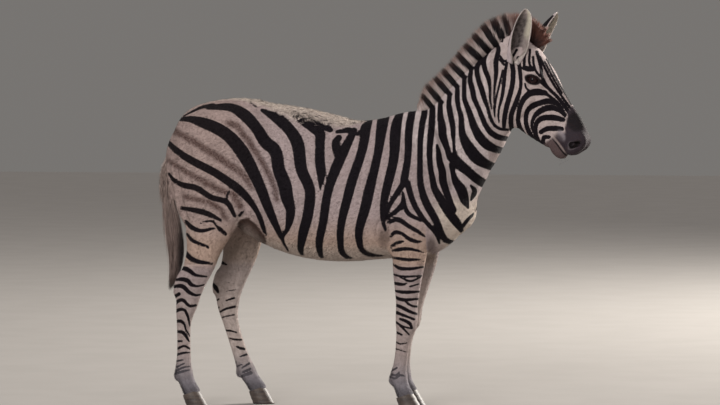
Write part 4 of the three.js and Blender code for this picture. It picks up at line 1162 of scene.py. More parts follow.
def edge_distance(lines, places, most=3.0):
    """Distance from each place to the nearest line's edge, below zero inside it."""
    best = np.full(len(places), most)
    for rows in lines:
        line = smooth_line(rows)
        reach = most + line[:, 2].max() / 2
        box = ((places > line[:, :2].min(0) - reach) & (places < line[:, :2].max(0) + reach)).all(1)
        near = np.nonzero(box)[0]
        if not len(near):
            continue
        p = places[near]
        value = np.full(len(near), most)
        for a, b in zip(line[:-1], line[1:]):
            run = b[:2] - a[:2]
            t = np.clip((p - a[:2]) @ run / max(run @ run, 1e-9), 0, 1)
            gap = np.hypot(*(p - a[:2] - t[:, None] * run).T)
            value = np.minimum(value, gap - (a[2] + t * (b[2] - a[2])) / 2)
        best[near] = np.minimum(best[near], value)
    return best


def facing_head_side(points):
    """Points of the head's left side, reflected to its right side."""
    h = in_head(points)
    h[:, 1] = -np.abs(h[:, 1])
    return from_head(h)


def ripple(points, scale, seed):
    """Smooth noise from -1 to 1 made of a few waves, the same for skin and hair."""
    turn = np.random.default_rng(seed)
    total = np.zeros(len(points))
    for octave in range(5):
        ways = turn.normal(size=3)
        ways /= np.linalg.norm(ways)
        total += np.sin(points @ ways * 2 * math.pi / (scale * 0.7**octave) + turn.uniform(0, 6.3))
    return total / 3.2


def colour(red, green, blue):
    """Linear values of an sRGB colour given from 0 to 255."""
    c = np.array([red, green, blue]) / 255
    return np.where(c <= 0.04045, c / 12.92, ((c + 0.055) / 1.055) ** 2.4)


def paint(base, tint, share):
    return base + (tint - base) * np.clip(share, 0, 1)[:, None]


def painted(base, paints):
    """A colour with each (tint, share) painted over it in turn."""
    for tint, share in paints:
        base = paint(base, tint, share)
    return base


def between(value, start, full, fading, end):
    """0 before the start, 1 from full to fading, and 0 after the end."""
    return smooth(start, full, value) * smooth(end, fading, value)


def oval(places, centre, radii):
    """1 on the rim of an oval, less inside it."""
    return np.hypot(*((places - centre) / radii).T)


PALE = colour(158, 143, 143)
WARM = colour(153, 134, 128)
# Warmer, lighter lower barrel: partly dusty hair, partly painted bounce light from the floor.
BELLY_DUST_AND_BOUNCE_LIGHT = colour(170, 147, 134)
NECK_PALE = colour(190, 177, 177)
CREAM = colour(200, 187, 176)
# Dark brown painted shade: the shadow under the flank fold and in the hollows by the elbow.
FOLD_SHADE = colour(62, 47, 42)
GREYER = colour(164, 150, 147)
WHITE = colour(190, 178, 170)
DUSTY = colour(170, 154, 146)
LIGHT_FACE = colour(182, 168, 165)
BLACK = colour(14, 9, 15)
BROWN_BLACK = colour(21, 14, 16)
MUZZLE = colour(48, 41, 47)
MUZZLE_TOP = colour(28, 24, 27)
GREY_CHEEK = colour(128, 120, 126)
# A painted highlight for the upper lip's edge.
PAINTED_LIP_HIGHLIGHT = colour(160, 144, 140)
LIPS = colour(82, 68, 68)
# Near black: dark skin with painted shade in the mouth's line and nostrils; also the ears' dark spots and the
# darker feet.
HOLE = colour(14, 11, 12)
SLATE = colour(124, 120, 127)
EAR_BACK = colour(176, 163, 165)
EAR_CREAM = colour(205, 197, 182)
EAR_INSIDE = colour(170, 158, 154)
EAR_RIM = colour(205, 196, 188)
EAR_SHADE = colour(62, 54, 58)
LIDS = colour(22, 16, 18)
SHADOW_STRIPE = colour(66, 46, 42)

# The half lengths of the dark lids' outline, along the eye's slit and across it.
LID_OVAL = (3.75, 2.2)
# The height of the mouth's line along the face, and the edge of the loose skin before the thigh on the side
# view, below which shadow is painted.
MOUTH = ([41.6, 44.5, 47.5, 50.4, 51.9], [-9.9, -9.4, -9.1, -8.9, -8.8])
FOLD_LINE = ([-36.5, -35.2, -31.5, -27.7, -23.8], [80.5, 82.9, 83.8, 80.1, 75.2])
# Painted shade in the hollows before and behind the elbow on the side view: middle, half width and half
# height, share.
SHADES = [((28.2, 75.5), (2.8, 6.0), 0.55), ((48.8, 71.8), (2.2, 3.6), 0.5)]
# How deep the band of loose, speckled hair along the spine hangs, from loins to withers.
BACK_BAND = ([-40, -25, -10, 2, 14, 24], [0.5, 2.5, 5.2, 4.5, 2.8, 0.8])
# The edge of the dark muzzle in the head's frame: heights, then how far along the face it starts there.
MUZZLE_EDGE = ([-12, -8.5, -5, -3.1, -0.5, 1.9, 4, 6], [40.5, 40.3, 41.3, 41.0, 38.0, 34.6, 33.0, 33.0])


def coat_parts(points, normals, chart):
    """How far each point belongs to the parts of the coat that differ, its depth under the fold, and its
    painted shadow there.
    """
    x, y, height = points.T
    out = normals[:, 1] * np.sign(y)
    spine = smooth(5.5, 2.0, np.abs(y)) * smooth(0.6, 0.9, normals[:, 2])
    fold = np.interp(chart[:, 0], *FOLD_LINE) - chart[:, 1]
    under = (chart[:, 0] > FOLD_LINE[0][0]) * (chart[:, 0] < FOLD_LINE[0][-1]) * (fold > -0.3) * (fold < 13)
    return SimpleNamespace(
        head=head_share(points) * (x > 76),
        inside_leg=smooth(0.15, -0.45, out) * (1 - smooth(66, 84, height)),
        down=smooth(-0.55, -0.92, normals[:, 2]) * (height > 58) * (x < 50),
        spine=spine * (x > -66) * smooth(24, 14, x) * (height > 110),
        loose=loose_back(points),
        fold=fold,
        # The painted shadow under the right flank's fold, weaker on the left side.
        under=under * smooth(-0.3, 0.3, fold) * (height > 68) * np.where(y < 0, 1, 0.4),
        rump=smooth(-10, -45, x) * smooth(70, 90, height),
    )


def with_breast_band(edge, points):
    """The breast's left half has one band that rises outwards, so that the two halves don't match."""
    x, y, height = points.T
    here = (x > 54) * smooth(77.5, 79, height) * smooth(97, 95.5, height) * smooth(13.0, 11.5, y)
    band = 0.83 * np.abs(height - 85.8 - 0.62 * y) - 0.25 - 0.11 * y
    band = band + 3 * smooth(2.5, -1.0, y) + 3 * (1 - here)
    return np.minimum(edge + 2.6 * here * smooth(-1.0, 5.5, y), band)


def stripe_edges(points, part, chart):
    """Distance to the edge of the nearest black stripe, below zero inside it."""
    x, y, height = points.T
    aside = np.abs(y)
    edge = edge_distance(BODY_MARKS, chart) - 0.15 + 0.1 * smooth(36, 56, x)
    legs = np.minimum(edge_distance(FORE_MARKS, chart), edge_distance(HIND_MARKS, chart)) + 0.12
    hidden = edge_distance(HIND_INNER_MARKS, side_view(as_left_limb(points))) + 0.12
    edge = np.minimum(edge, legs) + part.inside_leg * 2.2
    edge = np.minimum(edge, hidden + (1 - part.inside_leg) * 2.2 + 3 * (x > 0))
    # The middle of the belly has no stripes, and the top of the back has one thin dark line.
    edge = edge + 2.4 * part.down * smooth(10, 5, aside)
    edge = np.where(part.spine > 0, np.minimum(edge + part.spine * 2.0, 3), edge)
    back_line = aside - 0.95 - 0.25 * ripple(points, 3, 5)
    edge = np.where(part.spine > 0.4, np.minimum(edge, back_line), edge)
    specks = 0.5 + 0.35 * edge + 0.9 * ripple(points * [0.9, 0.6, 1.3], 3.4, 31)
    edge = edge + (specks - edge) * part.loose
    # The dorsal marks are added, and the stripes fade out in the painted shadow under the flank fold.
    edge = np.minimum(edge, edge_distance(DORSAL_MARKS, chart)) + 2.4 * part.under
    edge = with_breast_band(edge, points)
    crest = np.interp(x, [row[0] for row in MANE], [row[1] for row in MANE]) - 2.0
    on_crest = (height > crest) & (x > 44) & (x < 82) & (aside < 6)
    edge = np.where(on_crest, np.minimum(edge, edge_distance(MANE_MARKS, chart)), edge)
    return np.minimum(edge, edge_distance(HEAD_MARKS, side_view(facing_head_side(points))) - 0.12)


def coat_tones(points, part, chart):
    """The colours of the pale coat and of the black one at each point, with painted shade and painted bounce
    light in the pale.
    """
    x, _, height = points.T
    tone = painted(
        np.tile(PALE, (len(points), 1)),
        [
            (WARM, 0.8 * part.rump),
            # The lower barrel is warmer and lighter: partly its dusty hair, partly painted bounce light from
            # the floor.
            (BELLY_DUST_AND_BOUNCE_LIGHT, smooth(88, 70, height) * smooth(60, 66, height) * (x < 50)),
            (NECK_PALE, smooth(-2, 8, neck_side(points)) * (1 - part.head)),
            (GREYER, smooth(66, 40, height)),
            (CREAM, smooth(50, 60, x) * smooth(97, 88, height) * (height > 64)),
            (WHITE, 0.7 * part.down + 0.4 * part.inside_leg),
        ],
    )
    # Painted shade on the inner sides of the legs, deeper towards the body.
    tone = tone * (1 - 0.45 * part.inside_leg * smooth(50, 70, height))[:, None]
    tone = painted(tone, [(DUSTY, 0.8 * part.spine), (CREAM, 0.8 * part.loose)])
    tone = paint(tone, LIGHT_FACE, 0.6 * part.head)
    tone = tone * (1 + 0.07 * ripple(points, 14, 1) + 0.07 * ripple(points, 4, 2))[:, None]
    # Painted shade in the hollows before and behind the elbow.
    for centre, radii, share in SHADES:
        tone = paint(tone, FOLD_SHADE, share * smooth(1.3, 0.4, oval(chart, centre, radii)))
    # Painted shadow under the flank fold, darkest at the fold's edge.
    tone = paint(tone, FOLD_SHADE, part.under * (0.35 + 0.65 * smooth(8, 1, part.fold)))
    dark = np.tile(BLACK, (len(points), 1))
    return tone, paint(dark, BROWN_BLACK, 0.6 * part.rump + 0.35 * smooth(70, 40, height))


def nostril_distance(h):
    """1 on the rim of a nostril, less inside it, for places in the head's frame."""
    q = mirrored(h)
    return np.min([np.linalg.norm((q - c) / r, axis=1) for c, r, _, _ in NOSTRILS[:2]], 0)


def muzzle_paints(points, h):
    """The dark muzzle, then its cheek, lips, upper lip's painted highlight, and mouth line and nostrils in
    painted shade, as painted.
    """
    along, height = h[:, 0], h[:, 2]
    ahead = points[:, 0] > HEAD_FROM
    side = h[:, [0, 2]]
    start = np.interp(height, *MUZZLE_EDGE) + 0.35 * ripple(points, 3, 9)
    softness = np.interp(height, [-5, -2], [2.6, 0.7])
    muzzle = smooth(start - 0.5, start + softness, along) * ahead
    above = height - np.interp(along, *MOUTH)
    in_mouth = smooth(40.6, 41.8, along) * ahead
    lips = in_mouth * smooth(0.1, -0.5, above) * smooth(53.4, 51.6, along)
    # A painted highlight along the upper lip's edge, above the mouth's line.
    lip_highlight = in_mouth * between(above, 0.25, 0.6, 1.0, 1.7) * smooth(51, 48, along)
    brow = smooth(1.25, 0.75, oval(side, (40.2, 2.8), (4.4, 3.6)))
    smoky = smooth(1.25, 0.5, oval(side, (43.4, -7.4), (3.4, 2.1))) * ahead
    cheek = smooth(1.2, 0.6, oval(side, (42.4, -5.6), (2.8, 2.0))) * ahead
    hole = nostril_distance(h)
    rim_of_hole = between(hole, 1.1, 1.25, 1.4, 1.9) * smooth(0.5, -1.5, height + 1.9)
    return [
        (MUZZLE, muzzle),
        (MUZZLE_TOP, brow * muzzle),
        (GREY_CHEEK, 0.75 * cheek),
        (MUZZLE, 0.75 * smoky * (1 - lips)),
        (GREY_CHEEK, 0.3 * rim_of_hole * muzzle),
        (LIPS, 0.9 * lips),
        (PAINTED_LIP_HIGHLIGHT, 0.6 * lip_highlight),
        # The mouth's line and the nostrils' insides: partly dark skin, partly painted shade in the crease and
        # the holes.
        (HOLE, 0.9 * in_mouth * smooth(0.42, 0.2, np.abs(above + 0.05))),
        (HOLE, smooth(1.5, 1.05, hole)),
    ]


def ear_looks(points, ear, along, turn, cup):
    """On the ears: distance to the edge of their dark marks, and what is painted inside the cup."""
    rim = np.abs(turn)
    tip = (1 - cup) * between(along, 0.5, 0.6, 0.88, 0.93) * smooth(0.97, 0.9, rim)
    band = (1 - cup) * between(along, 0.24, 0.28, 0.46, 0.5) * smooth(0.8, 0.7, rim)
    rear = between(turn, 0.68, 0.75, 0.87, 0.93) * between(along, 0.12, 0.25, 0.95, 1.0)
    hollow = smooth(0.8, 0.3, rim) * between(along, 0.05, 0.2, 0.8, 0.98)
    spots = smooth(-0.1, 0.7, ripple(points * [1, 1, 0.6], 2.9, 17)) * smooth(0.6, 0.3, rim)
    inside = ear * cup
    paints = [
        (EAR_CREAM, inside * smooth(-0.35, -0.6, turn) * smooth(0.4, 0.55, along)),
        (EAR_SHADE, 0.65 * inside * hollow),
        (HOLE, 0.7 * inside * spots * between(along, 0.1, 0.3, 0.75, 0.9)),
        (EAR_RIM, inside * smooth(0.9, 0.96, rim)),
    ]
    return 0.7 - 1.4 * np.maximum(np.maximum(tip, band), cup * rear), paints


def markings(points, normals):
    """What the coat shows at each point, and how far it is on an ear and inside the ear's cup.

    That is the distance to the black stripes' edge, the brown shadow, the pale and the dark colour, and how
    loose the hair is.
    """
    ear, along, turn, cup = ear_part(points).T
    h = in_head(points)
    sway = np.stack([1.6 * ripple(points, 26, 51), 1.2 * ripple(points, 26, 53)], 1)
    chart = side_view(flank_of(points)) + sway * smooth(0.5, 7, points[:, 1])[:, None]
    part = coat_parts(points, normals, chart)
    tone, dark = coat_tones(points, part, chart)
    muzzle = muzzle_paints(points, h)
    feet = smooth(27, 9, points[:, 2] + 0.8 * ripple(points, 4, 11))
    ear_edge, ear_paints = ear_looks(points, ear, along, turn, cup)
    lids = [(LIDS, smooth(1.14, 0.92, eye_oval(h)))]
    tone = painted(tone, muzzle + [(SLATE, feet), (HOLE, 0.5 * smooth(12, 7, points[:, 2]))])
    tone = np.where(ear[:, None] > 0, paint(EAR_BACK, EAR_INSIDE, cup), tone)
    brown = edge_distance(BROWN_MARKS, chart) - 0.25 + 0.3 * ripple(points, 3, 23)
    return {
        "mark": np.where(ear > 0, ear_edge, stripe_edges(points, part, chart)),
        "shadow": smooth(1.1, -0.5, brown) * (1 - ear),
        "tone": painted(tone, ear_paints + lids),
        "dark": painted(dark, muzzle + [(SLATE, 0.45 * feet)] + lids),
        "loose": part.loose,
        "ear": ear,
        "cup": cup,
    }


def eye_oval(h):
    """1 on the outline of the dark lids, less inside it, for places in the head's frame."""
    tilt = math.radians(SLIT["tilt"])
    c, s = math.cos(tilt), math.sin(tilt)
    along, up = h[:, 0] - EYE[0], h[:, 2] - EYE[2]
    beside = np.abs(h[:, 1]) < EYE[1] - 3
    return np.hypot((along * c + up * s) / LID_OVAL[0], (up * c - along * s) / LID_OVAL[1]) + 9 * beside


def loose_back(points):
    """1 on the band of loose hair along the spine, from withers to loins, fading out at its edges."""
    rows = np.array(TRUNK)
    top_line = np.interp(points[:, 0], rows[:, 0], rows[:, 2] + rows[:, 3])
    depth = (top_line - points[:, 2]) / np.interp(points[:, 0], *BACK_BAND)
    band = smooth(1.4, 0.6, depth + 0.25 * ripple(points, 5, 35)) * (points[:, 2] > 110)
    return band * smooth(-46, -36, points[:, 0]) * smooth(26, 14, points[:, 0])


def keep_facts(mesh, facts):
    """Facts kept at the mesh's points under their names: a number or a colour each."""
    for name, values in facts.items():
        kind = "FLOAT" if values.ndim == 1 else "FLOAT_COLOR"
        attribute = mesh.attributes.new(name, kind, "POINT")
        if kind == "FLOAT":
            attribute.data.foreach_set("value", values.astype(np.float32))
        else:
            padded = np.ones((len(values), 4), np.float32)
            padded[:, :3] = values
            attribute.data.foreach_set("color", padded.ravel())


def normals_of(mesh):
    values = np.zeros(len(mesh.vertices) * 3, np.float32)
    mesh.vertices.foreach_get("normal", values)
    return values.reshape(-1, 3).astype(float)


skin.data.shade_smooth()
skin_points = coordinates(skin.data)
skin_normals = normals_of(skin.data)
skin_facts = markings(skin_points, skin_normals)
shown_facts = {name: skin_facts[name] for name in ("mark", "shadow", "tone", "dark", "loose")}
leg_share = smooth(74, 62, skin_points[:, 2])
face_share = head_share(skin_points) * (skin_points[:, 0] > 80) * (1 - leg_share)
keep_facts(skin.data, {**shown_facts, "leg": leg_share, "face": face_share})

# ---------------------------------------------------------------- materials


def colour_sockets(sockets):
    return [s for s in sockets if s.type == "RGBA"]


class Shader:
    """A material's node tree, with short ways to add to it."""

    def __init__(self, name, roughness, specular):
        self.material = bpy.data.materials.new(name)
        self.material.use_nodes = True
        self.tree = self.material.node_tree
        self.surface = self.tree.nodes["Principled BSDF"]
        self.surface.inputs["Roughness"].default_value = roughness
        self.surface.inputs["Specular IOR Level"].default_value = specular
        self.place = self.tree.nodes.new("ShaderNodeTexCoord").outputs["Object"]

    def link(self, value, socket):
        if isinstance(value, bpy.types.NodeSocket):
            self.tree.links.new(value, socket)
        else:
            socket.default_value = value

    def attribute(self, name, output="Fac"):
        node = self.tree.nodes.new("ShaderNodeAttribute")
        node.attribute_name = name
        return node.outputs[output]

    def math(self, operation, a, b=0.0, c=0.0):
        node = self.tree.nodes.new("ShaderNodeMath")
        node.operation = operation
        for value, socket in zip((a, b, c), node.inputs):
            self.link(value, socket)
        return node.outputs[0]

    def noise(self, scale, stretch=(1, 1, 1), turn=(0, 0, 0), detail=3.0):
        mapping = self.tree.nodes.new("ShaderNodeMapping")
        mapping.vector_type = "TEXTURE"
        mapping.inputs["Scale"].default_value = stretch
        mapping.inputs["Rotation"].default_value = turn
        self.tree.links.new(self.place, mapping.inputs["Vector"])
        node = self.tree.nodes.new("ShaderNodeTexNoise")
        node.inputs["Scale"].default_value = scale
        node.inputs["Detail"].default_value = detail
        self.tree.links.new(mapping.outputs[0], node.inputs["Vector"])
        return node.outputs["Fac"]

    def ramp(self, value, low, high):
        node = self.tree.nodes.new("ShaderNodeMapRange")
        node.interpolation_type = "SMOOTHSTEP"
        self.link(value, node.inputs["Value"])
        node.inputs["From Min"].default_value = low
        node.inputs["From Max"].default_value = high
        return node.outputs["Result"]

    def mix(self, share, a, b):
        node = self.tree.nodes.new("ShaderNodeMix")
        node.data_type = "RGBA"
        self.link(share, node.inputs["Factor"])
        for value, socket in zip((a, b), colour_sockets(node.inputs)):
            self.link((*value, 1) if isinstance(value, (tuple, list, np.ndarray)) else value, socket)
        return colour_sockets(node.outputs)[0]

    def bump(self, height, strength, distance, after=None):
        node = self.tree.nodes.new("ShaderNodeBump")
        node.inputs["Strength"].default_value = strength
        node.inputs["Distance"].default_value = distance
        self.link(height, node.inputs["Height"])
        if after is not None:
            self.link(after, node.inputs["Normal"])
        return node.outputs[0]

    def finish(self, tone, normal=None):
        self.link(tone, self.surface.inputs["Base Color"])
        if normal is not None:
            self.link(normal, self.surface.inputs["Normal"])
        return self.material


def striped(shader, wander):
    """The pale and black coat with its brown shadow stripes, from the facts that the mesh carries."""
    wander = shader.math("MULTIPLY_ADD", shader.attribute("loose"), 5.0, wander)
    rough_edge = shader.math("MULTIPLY", shader.math("SUBTRACT", shader.noise(160, detail=4.0), 0.5), wander)
    edge = shader.math("ADD", shader.attribute("mark"), rough_edge)
    pale = shader.attribute("tone", "Color")
    flecks = shader.ramp(shader.noise(420, detail=2.0), 0.35, 0.75)
    pale = shader.mix(shader.math("MULTIPLY", flecks, 0.24), pale, BLACK)
    blotches = shader.ramp(shader.noise(75, detail=4.0), 0.45, 0.75)
    pale = shader.mix(shader.math("MULTIPLY", blotches, 0.2), pale, SHADOW_STRIPE)
    grain = shader.math("MULTIPLY_ADD", shader.ramp(shader.noise(190, detail=3.0), 0.3, 0.7), 0.45, 0.55)
    shade = shader.math("MULTIPLY", shader.attribute("shadow"), grain)
    pale = shader.mix(shade, pale, SHADOW_STRIPE)
    dark = shader.attribute("dark", "Color")
    dark = shader.mix(shader.math("MULTIPLY", shader.ramp(shader.noise(300), 0.5, 0.8), 0.02), dark, PALE)
    return shader.mix(shader.ramp(edge, -0.12, 0.14), dark, pale)


def skin_material():
    """The skin's own short hair, drawn as fine ridges along the body, down the legs and down the face."""
    shader = Shader("short_coat", 0.8, 0.12)
    along_body = shader.noise(900, (3.2, 1, 1.4), detail=2.0)
    down_legs = shader.noise(900, (1, 1, 3.4), detail=2.0)
    down_face = shader.noise(900, (3.2, 1, 1), (0, HEAD_PITCH, 0), detail=2.0)
    legs = shader.attribute("leg")
    face = shader.attribute("face")
    on_legs = shader.math("MULTIPLY", down_legs, legs)
    hairs = shader.math("ADD", on_legs, shader.math("MULTIPLY", down_face, face))
    rest = shader.math("SUBTRACT", 1.0, shader.math("ADD", legs, face))
    hairs = shader.math("ADD", hairs, shader.math("MULTIPLY", along_body, rest))
    swells = shader.bump(shader.noise(28, detail=3.0), 0.25, 0.006)
    normal = shader.bump(hairs, 0.5, 0.0016, swells)
    return shader.finish(striped(shader, 0.5), normal)


SKIN_LOOK = skin_material()
skin.data.materials.clear()
skin.data.materials.append(SKIN_LOOK)

# ---------------------------------------------------------------- hair


def triangle_mesh(name, points, triangles, facts, places):
    """A smooth mesh object with facts at its points, and the points' places on the map named OFBake."""
    mesh = bpy.data.meshes.new(name)
    mesh.vertices.add(len(points))
    mesh.vertices.foreach_set("co", to_frame(points).astype(np.float32).ravel())
    mesh.loops.add(3 * len(triangles))
    mesh.loops.foreach_set("vertex_index", triangles.astype(np.int32).ravel())
    mesh.polygons.add(len(triangles))
    mesh.polygons.foreach_set("loop_start", np.arange(0, 3 * len(triangles), 3, dtype=np.int32))
    mesh.update(calc_edges=True)
    layer = mesh.uv_layers.new(name="OFBake")
    layer.data.foreach_set("uv", places[triangles.ravel()].astype(np.float32).ravel())
    keep_facts(mesh, facts)
    mesh.shade_smooth()
    made = bpy.data.objects.new(name, mesh)
    bpy.context.scene.collection.objects.link(made)
    return made


def hairs(paths, widths, across, flat=0.35):
    """Closed three-sided hairs along paths [hair, ring, xyz] that end in a point."""
    count, rings = paths.shape[:2]
    along = unit(np.gradient(paths, axis=1))
    side = unit(across[:, None] - along * (along * across[:, None]).sum(2, keepdims=True))
    up = np.cross(along, side)
    spokes = np.stack([side, -side, up * flat], 2)[:, :-1]
    bodies = paths[:, :-1, None] + spokes * widths[:, :-1, None, None] / 2
    points = np.concatenate([bodies.reshape(count, -1, 3), paths[:, -1:]], 1)
    own = [[0, 2, 1]]
    for ring in range(rings - 2):
        for i in range(3):
            a, b = 3 * ring + i, 3 * ring + (i + 1) % 3
            own += [[a, b, b + 3], [a, b + 3, a + 3]]
    last = 3 * (rings - 2)
    own += [[last + i, last + (i + 1) % 3, 3 * (rings - 1)] for i in range(3)]
    triangles = np.array(own)[None] + np.arange(count)[:, None, None] * points.shape[1]
    return points.reshape(-1, 3), triangles.reshape(-1, 3), points.shape[1]


def ring_shares(rings):
    """How far along its hair each of a hair's points is, from 0 at the root to 1 at the tip."""
    return np.append(np.repeat(np.linspace(0, 1, rings)[:-1], 3), 1.0)


# The size of a tuft on the map.
PATCH = 0.003


def patches(roots, shares, length=PATCH):
    """Each hair's patch on the map, at its root's place."""
    sideways = np.append(np.tile([-0.5, 0.5, 0.0], (len(shares) - 1) // 3), 0.0) * PATCH
    u = roots[:, 0][:, None] + sideways
    v = roots[:, 1][:, None] + shares * length
    return np.clip(np.stack([u.ravel(), v.ravel()], 1), 0.0, 1.0)


# ---------------------------------------------------------------- tufts of the short coat


def skin_samples(weights, count):
    """Points spread over the skin by weight, with normals and facts blended from the corners around them."""
    mesh = skin.data
    mesh.calc_loop_triangles()
    corners = np.zeros(len(mesh.loop_triangles) * 3, np.int32)
    mesh.loop_triangles.foreach_get("vertices", corners)
    corners = corners.reshape(-1, 3)
    a, b, c = (skin_points[corners[:, i]] for i in range(3))
    area = np.linalg.norm(np.cross(b - a, c - a), axis=1) / 2
    total = np.cumsum(area * weights[corners].min(1))
    chosen = np.searchsorted(total, RNG.random(count) * total[-1])
    cuts = np.sort(RNG.random((count, 2)), axis=1)
    share = np.stack([cuts[:, 0], cuts[:, 1] - cuts[:, 0], 1 - cuts[:, 1]], 1)

    def blended(values):
        picked = values[corners[chosen]]
        return np.einsum("nk,nk...->n...", share, picked)

    facts = {name: blended(values) for name, values in skin_facts.items()}
    return blended(skin_points), unit(blended(skin_normals)), facts


def on_this_ear(points, on_ear, side):
    return (on_ear > 0.5) & ((points[:, 1] > 0) == (side == "left"))
def lie_of_coat(points, normals, on_ear):
    """The way the hair lies: back and down the body, down the neck and legs, down the face to the muzzle."""
    lie = np.tile([-0.86, 0.0, -0.42], (len(points), 1))
    neck_share = smooth(-4, 6, neck_side(points))[:, None]
    lie = lie + (np.array([-0.7, 0.0, -0.72]) - lie) * neck_share
    leg_share = smooth(82, 62, points[:, 2])[:, None]
    lie = lie + (np.array([-0.1, 0.0, -1.0]) - lie) * leg_share
    h = in_head(points)
    face = (head_share(points) * (points[:, 0] > 78))[:, None]
    cheek = smooth(2, -12, h[:, 2])[:, None]
    lie = lie + (HEAD_AXES[0] * (0.95 - 0.5 * cheek) - HEAD_AXES[2] * (0.15 + 0.65 * cheek) - lie) * face
    for side, ear in EARS.items():
        _, axis, _, _, _ = ear_frame(ear)
        lie = np.where(on_this_ear(points, on_ear, side)[:, None], axis, lie)
    return unit(lie - normals * (lie * normals).sum(1, keepdims=True))


def chart_place(points, centre, axis, first, reach):
    """A place on the map of a rounded part: the angle round its axis, and the way along it."""
    axis = unit(np.asarray(axis, float))
    first = unit(first - axis * (first @ axis))
    second = np.cross(axis, first)
    away = points - centre
    angle = np.arctan2(away @ second, away @ first) / (2 * math.pi) + 0.5
    return np.stack([angle, np.clip((away @ axis) / reach, 0, 1)], 1)


def within(places, low, high):
    """Places squeezed into one rectangle of the map."""
    low, high = np.array(low), np.array(high)
    return low + places * (high - low)


def leg_places(points, kind):
    places = np.zeros((len(points), 2))
    for i, side in enumerate(("right", "left")):
        rows = np.array(LIMBS[kind + "_" + side])[::-1]
        here = (points[:, 1] > 0) == (side == "left")
        p = points[here]
        x, y = (np.interp(p[:, 2], rows[:, 2], rows[:, k]) for k in (0, 1))
        angle = np.arctan2(p[:, 1] - y, p[:, 0] - x) / (2 * math.pi) + 0.5
        own = np.stack([angle, np.clip(p[:, 2] / 70, 0, 1)], 1)
        places[here] = within(own, (0.02 + 0.49 * i, 0.02), (0.47 + 0.49 * i, 0.97))
    return places


def head_places(points, on_ear):
    h = in_head(points)
    angle = np.arctan2(h[:, 1], h[:, 2] + 7) / (2 * math.pi) + 0.5
    places = within(np.stack([angle, np.clip((h[:, 0] + 22) / 80, 0, 1)], 1), (0.02, 0.02), (0.98, 0.8))
    for i, (side, ear) in enumerate(EARS.items()):
        base, axis, length, front, _ = ear_frame(ear)
        here = on_this_ear(points, on_ear, side)
        own = chart_place(points[here], base - axis * 3 + front * 3, axis, front, length + 6)
        places[here] = within(own, (0.02 + 0.5 * i, 0.83), (0.46 + 0.5 * i, 0.98))
    return places


# The map of a rounded part: a point on its axis, the axis, where the angle starts, and its length.
BARREL_MAP = (np.array([-78.0, 0, 104]), (1, 0, 0), np.array([0, 0, 1.0]), 156)
NECK_MAP = (np.array([40.0, 0, 96]), (0.62, 0, 0.78), np.array([1.0, 0, 0]), 92)
# Each piece's number of tufts, and their length and width.
COAT = {
    "coat_trunk_right": (46000, 1.25, 0.2),
    "coat_trunk_left": (46000, 1.25, 0.2),
    "coat_neck": (44000, 1.1, 0.17),
    "coat_head": (46000, 0.55, 0.1),
    "coat_fore_legs": (38000, 0.75, 0.12),
    "coat_hind_legs": (44000, 0.8, 0.13),
}
# How far the tips of the tufts stand out, as a share of their length.
COAT_RISE = 0.1


def coat_places(name, points, on_ear):
    """Where each tuft's root lies on its piece's map."""
    if name.startswith("coat_trunk"):
        return chart_place(points, *BARREL_MAP)
    if name == "coat_neck":
        return chart_place(points, *NECK_MAP)
    if name == "coat_head":
        return head_places(points, on_ear)
    return leg_places(points, name.split("_")[1])


def piece_of(points, on_ear):
    """Which coat piece each point belongs to, as its place in COAT."""
    leg = points[:, 2] < 63
    head = ((head_share(points) > 0.5) & (points[:, 0] > 80)) | (on_ear > 0.5)
    choices = [leg & (points[:, 0] > 0), leg, head, neck_side(points) > 0, points[:, 1] < 0]
    return np.select(choices, [4, 5, 3, 2, 0], 1)


def bare_places(points):
    """Where no tuft stands: in the nostrils, on the eyelids, inside the hooves."""
    in_nostril = nostril_distance(in_head(points)) < 1.15
    return in_nostril | near_any(points, SOCKETS, EYE_RADIUS + 0.35) | (foot_plane(points) > -1.0)


def tufts(name, number):
    """One piece of the coat: short closed tufts that lie along the skin, with the skin's stripes."""
    count, length, width = COAT[name]
    piece = piece_of(skin_points, skin_facts["ear"])
    places, normals, facts = skin_samples((piece == number) * (1.0 - bare_places(skin_points)), count)
    on_ear = facts.pop("ear")
    cup = facts.pop("cup")
    lie = lie_of_coat(places, normals, on_ear)
    across = np.cross(normals, lie)
    lie = unit(lie + across * RNG.normal(0, 0.2, (count, 1)))
    size = RNG.uniform(0.7, 1.25, count)
    under_belly = smooth(-0.6, -0.9, normals[:, 2]) * (places[:, 2] > 58) * (places[:, 0] < 60)
    behind_fetlock = smooth(0.2, 0.8, -normals[:, 0]) * smooth(21, 15, places[:, 2]) * (places[:, 2] < 30)
    long_share = np.maximum.reduce([0.9 * facts["loose"], 0.5 * under_belly, behind_fetlock])
    muzzle = smooth(38, 42, in_head(places)[:, 0]) * (places[:, 0] > HEAD_FROM)
    size *= (1 + 0.7 * long_share) * (1 - 0.35 * muzzle) * (1 + 0.8 * cup)
    stand = COAT_RISE * RNG.uniform(0.4, 1.6, count) + 0.3 * long_share * RNG.random(count) + 0.25 * cup
    reach = (size * length)[:, None]
    base = places - lie * reach * 0.5 - normals * 0.06
    tip = places + lie * reach * 0.5 + normals * reach * stand[:, None]
    widths = np.repeat((width * (0.7 + 0.3 * size))[:, None], 2, 1)
    points, triangles, step = hairs(np.stack([base, tip], 1), widths, across)
    tint = RNG.normal(1, 0.07, count)[:, None]
    facts["tone"] = facts["tone"] * tint
    facts["dark"] = facts["dark"] * tint
    facts["mark"] = facts["mark"] + RNG.normal(0, 0.9, count) * facts["loose"]
    spread = {fact: np.repeat(values, step, axis=0) for fact, values in facts.items()}
    roots = within(coat_places(name, places, on_ear), 0.01, 0.985)
    made = triangle_mesh(name, points, triangles, spread, patches(roots, ring_shares(2)))
    made.data.materials.append(COAT_LOOK)
    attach(made, "root")


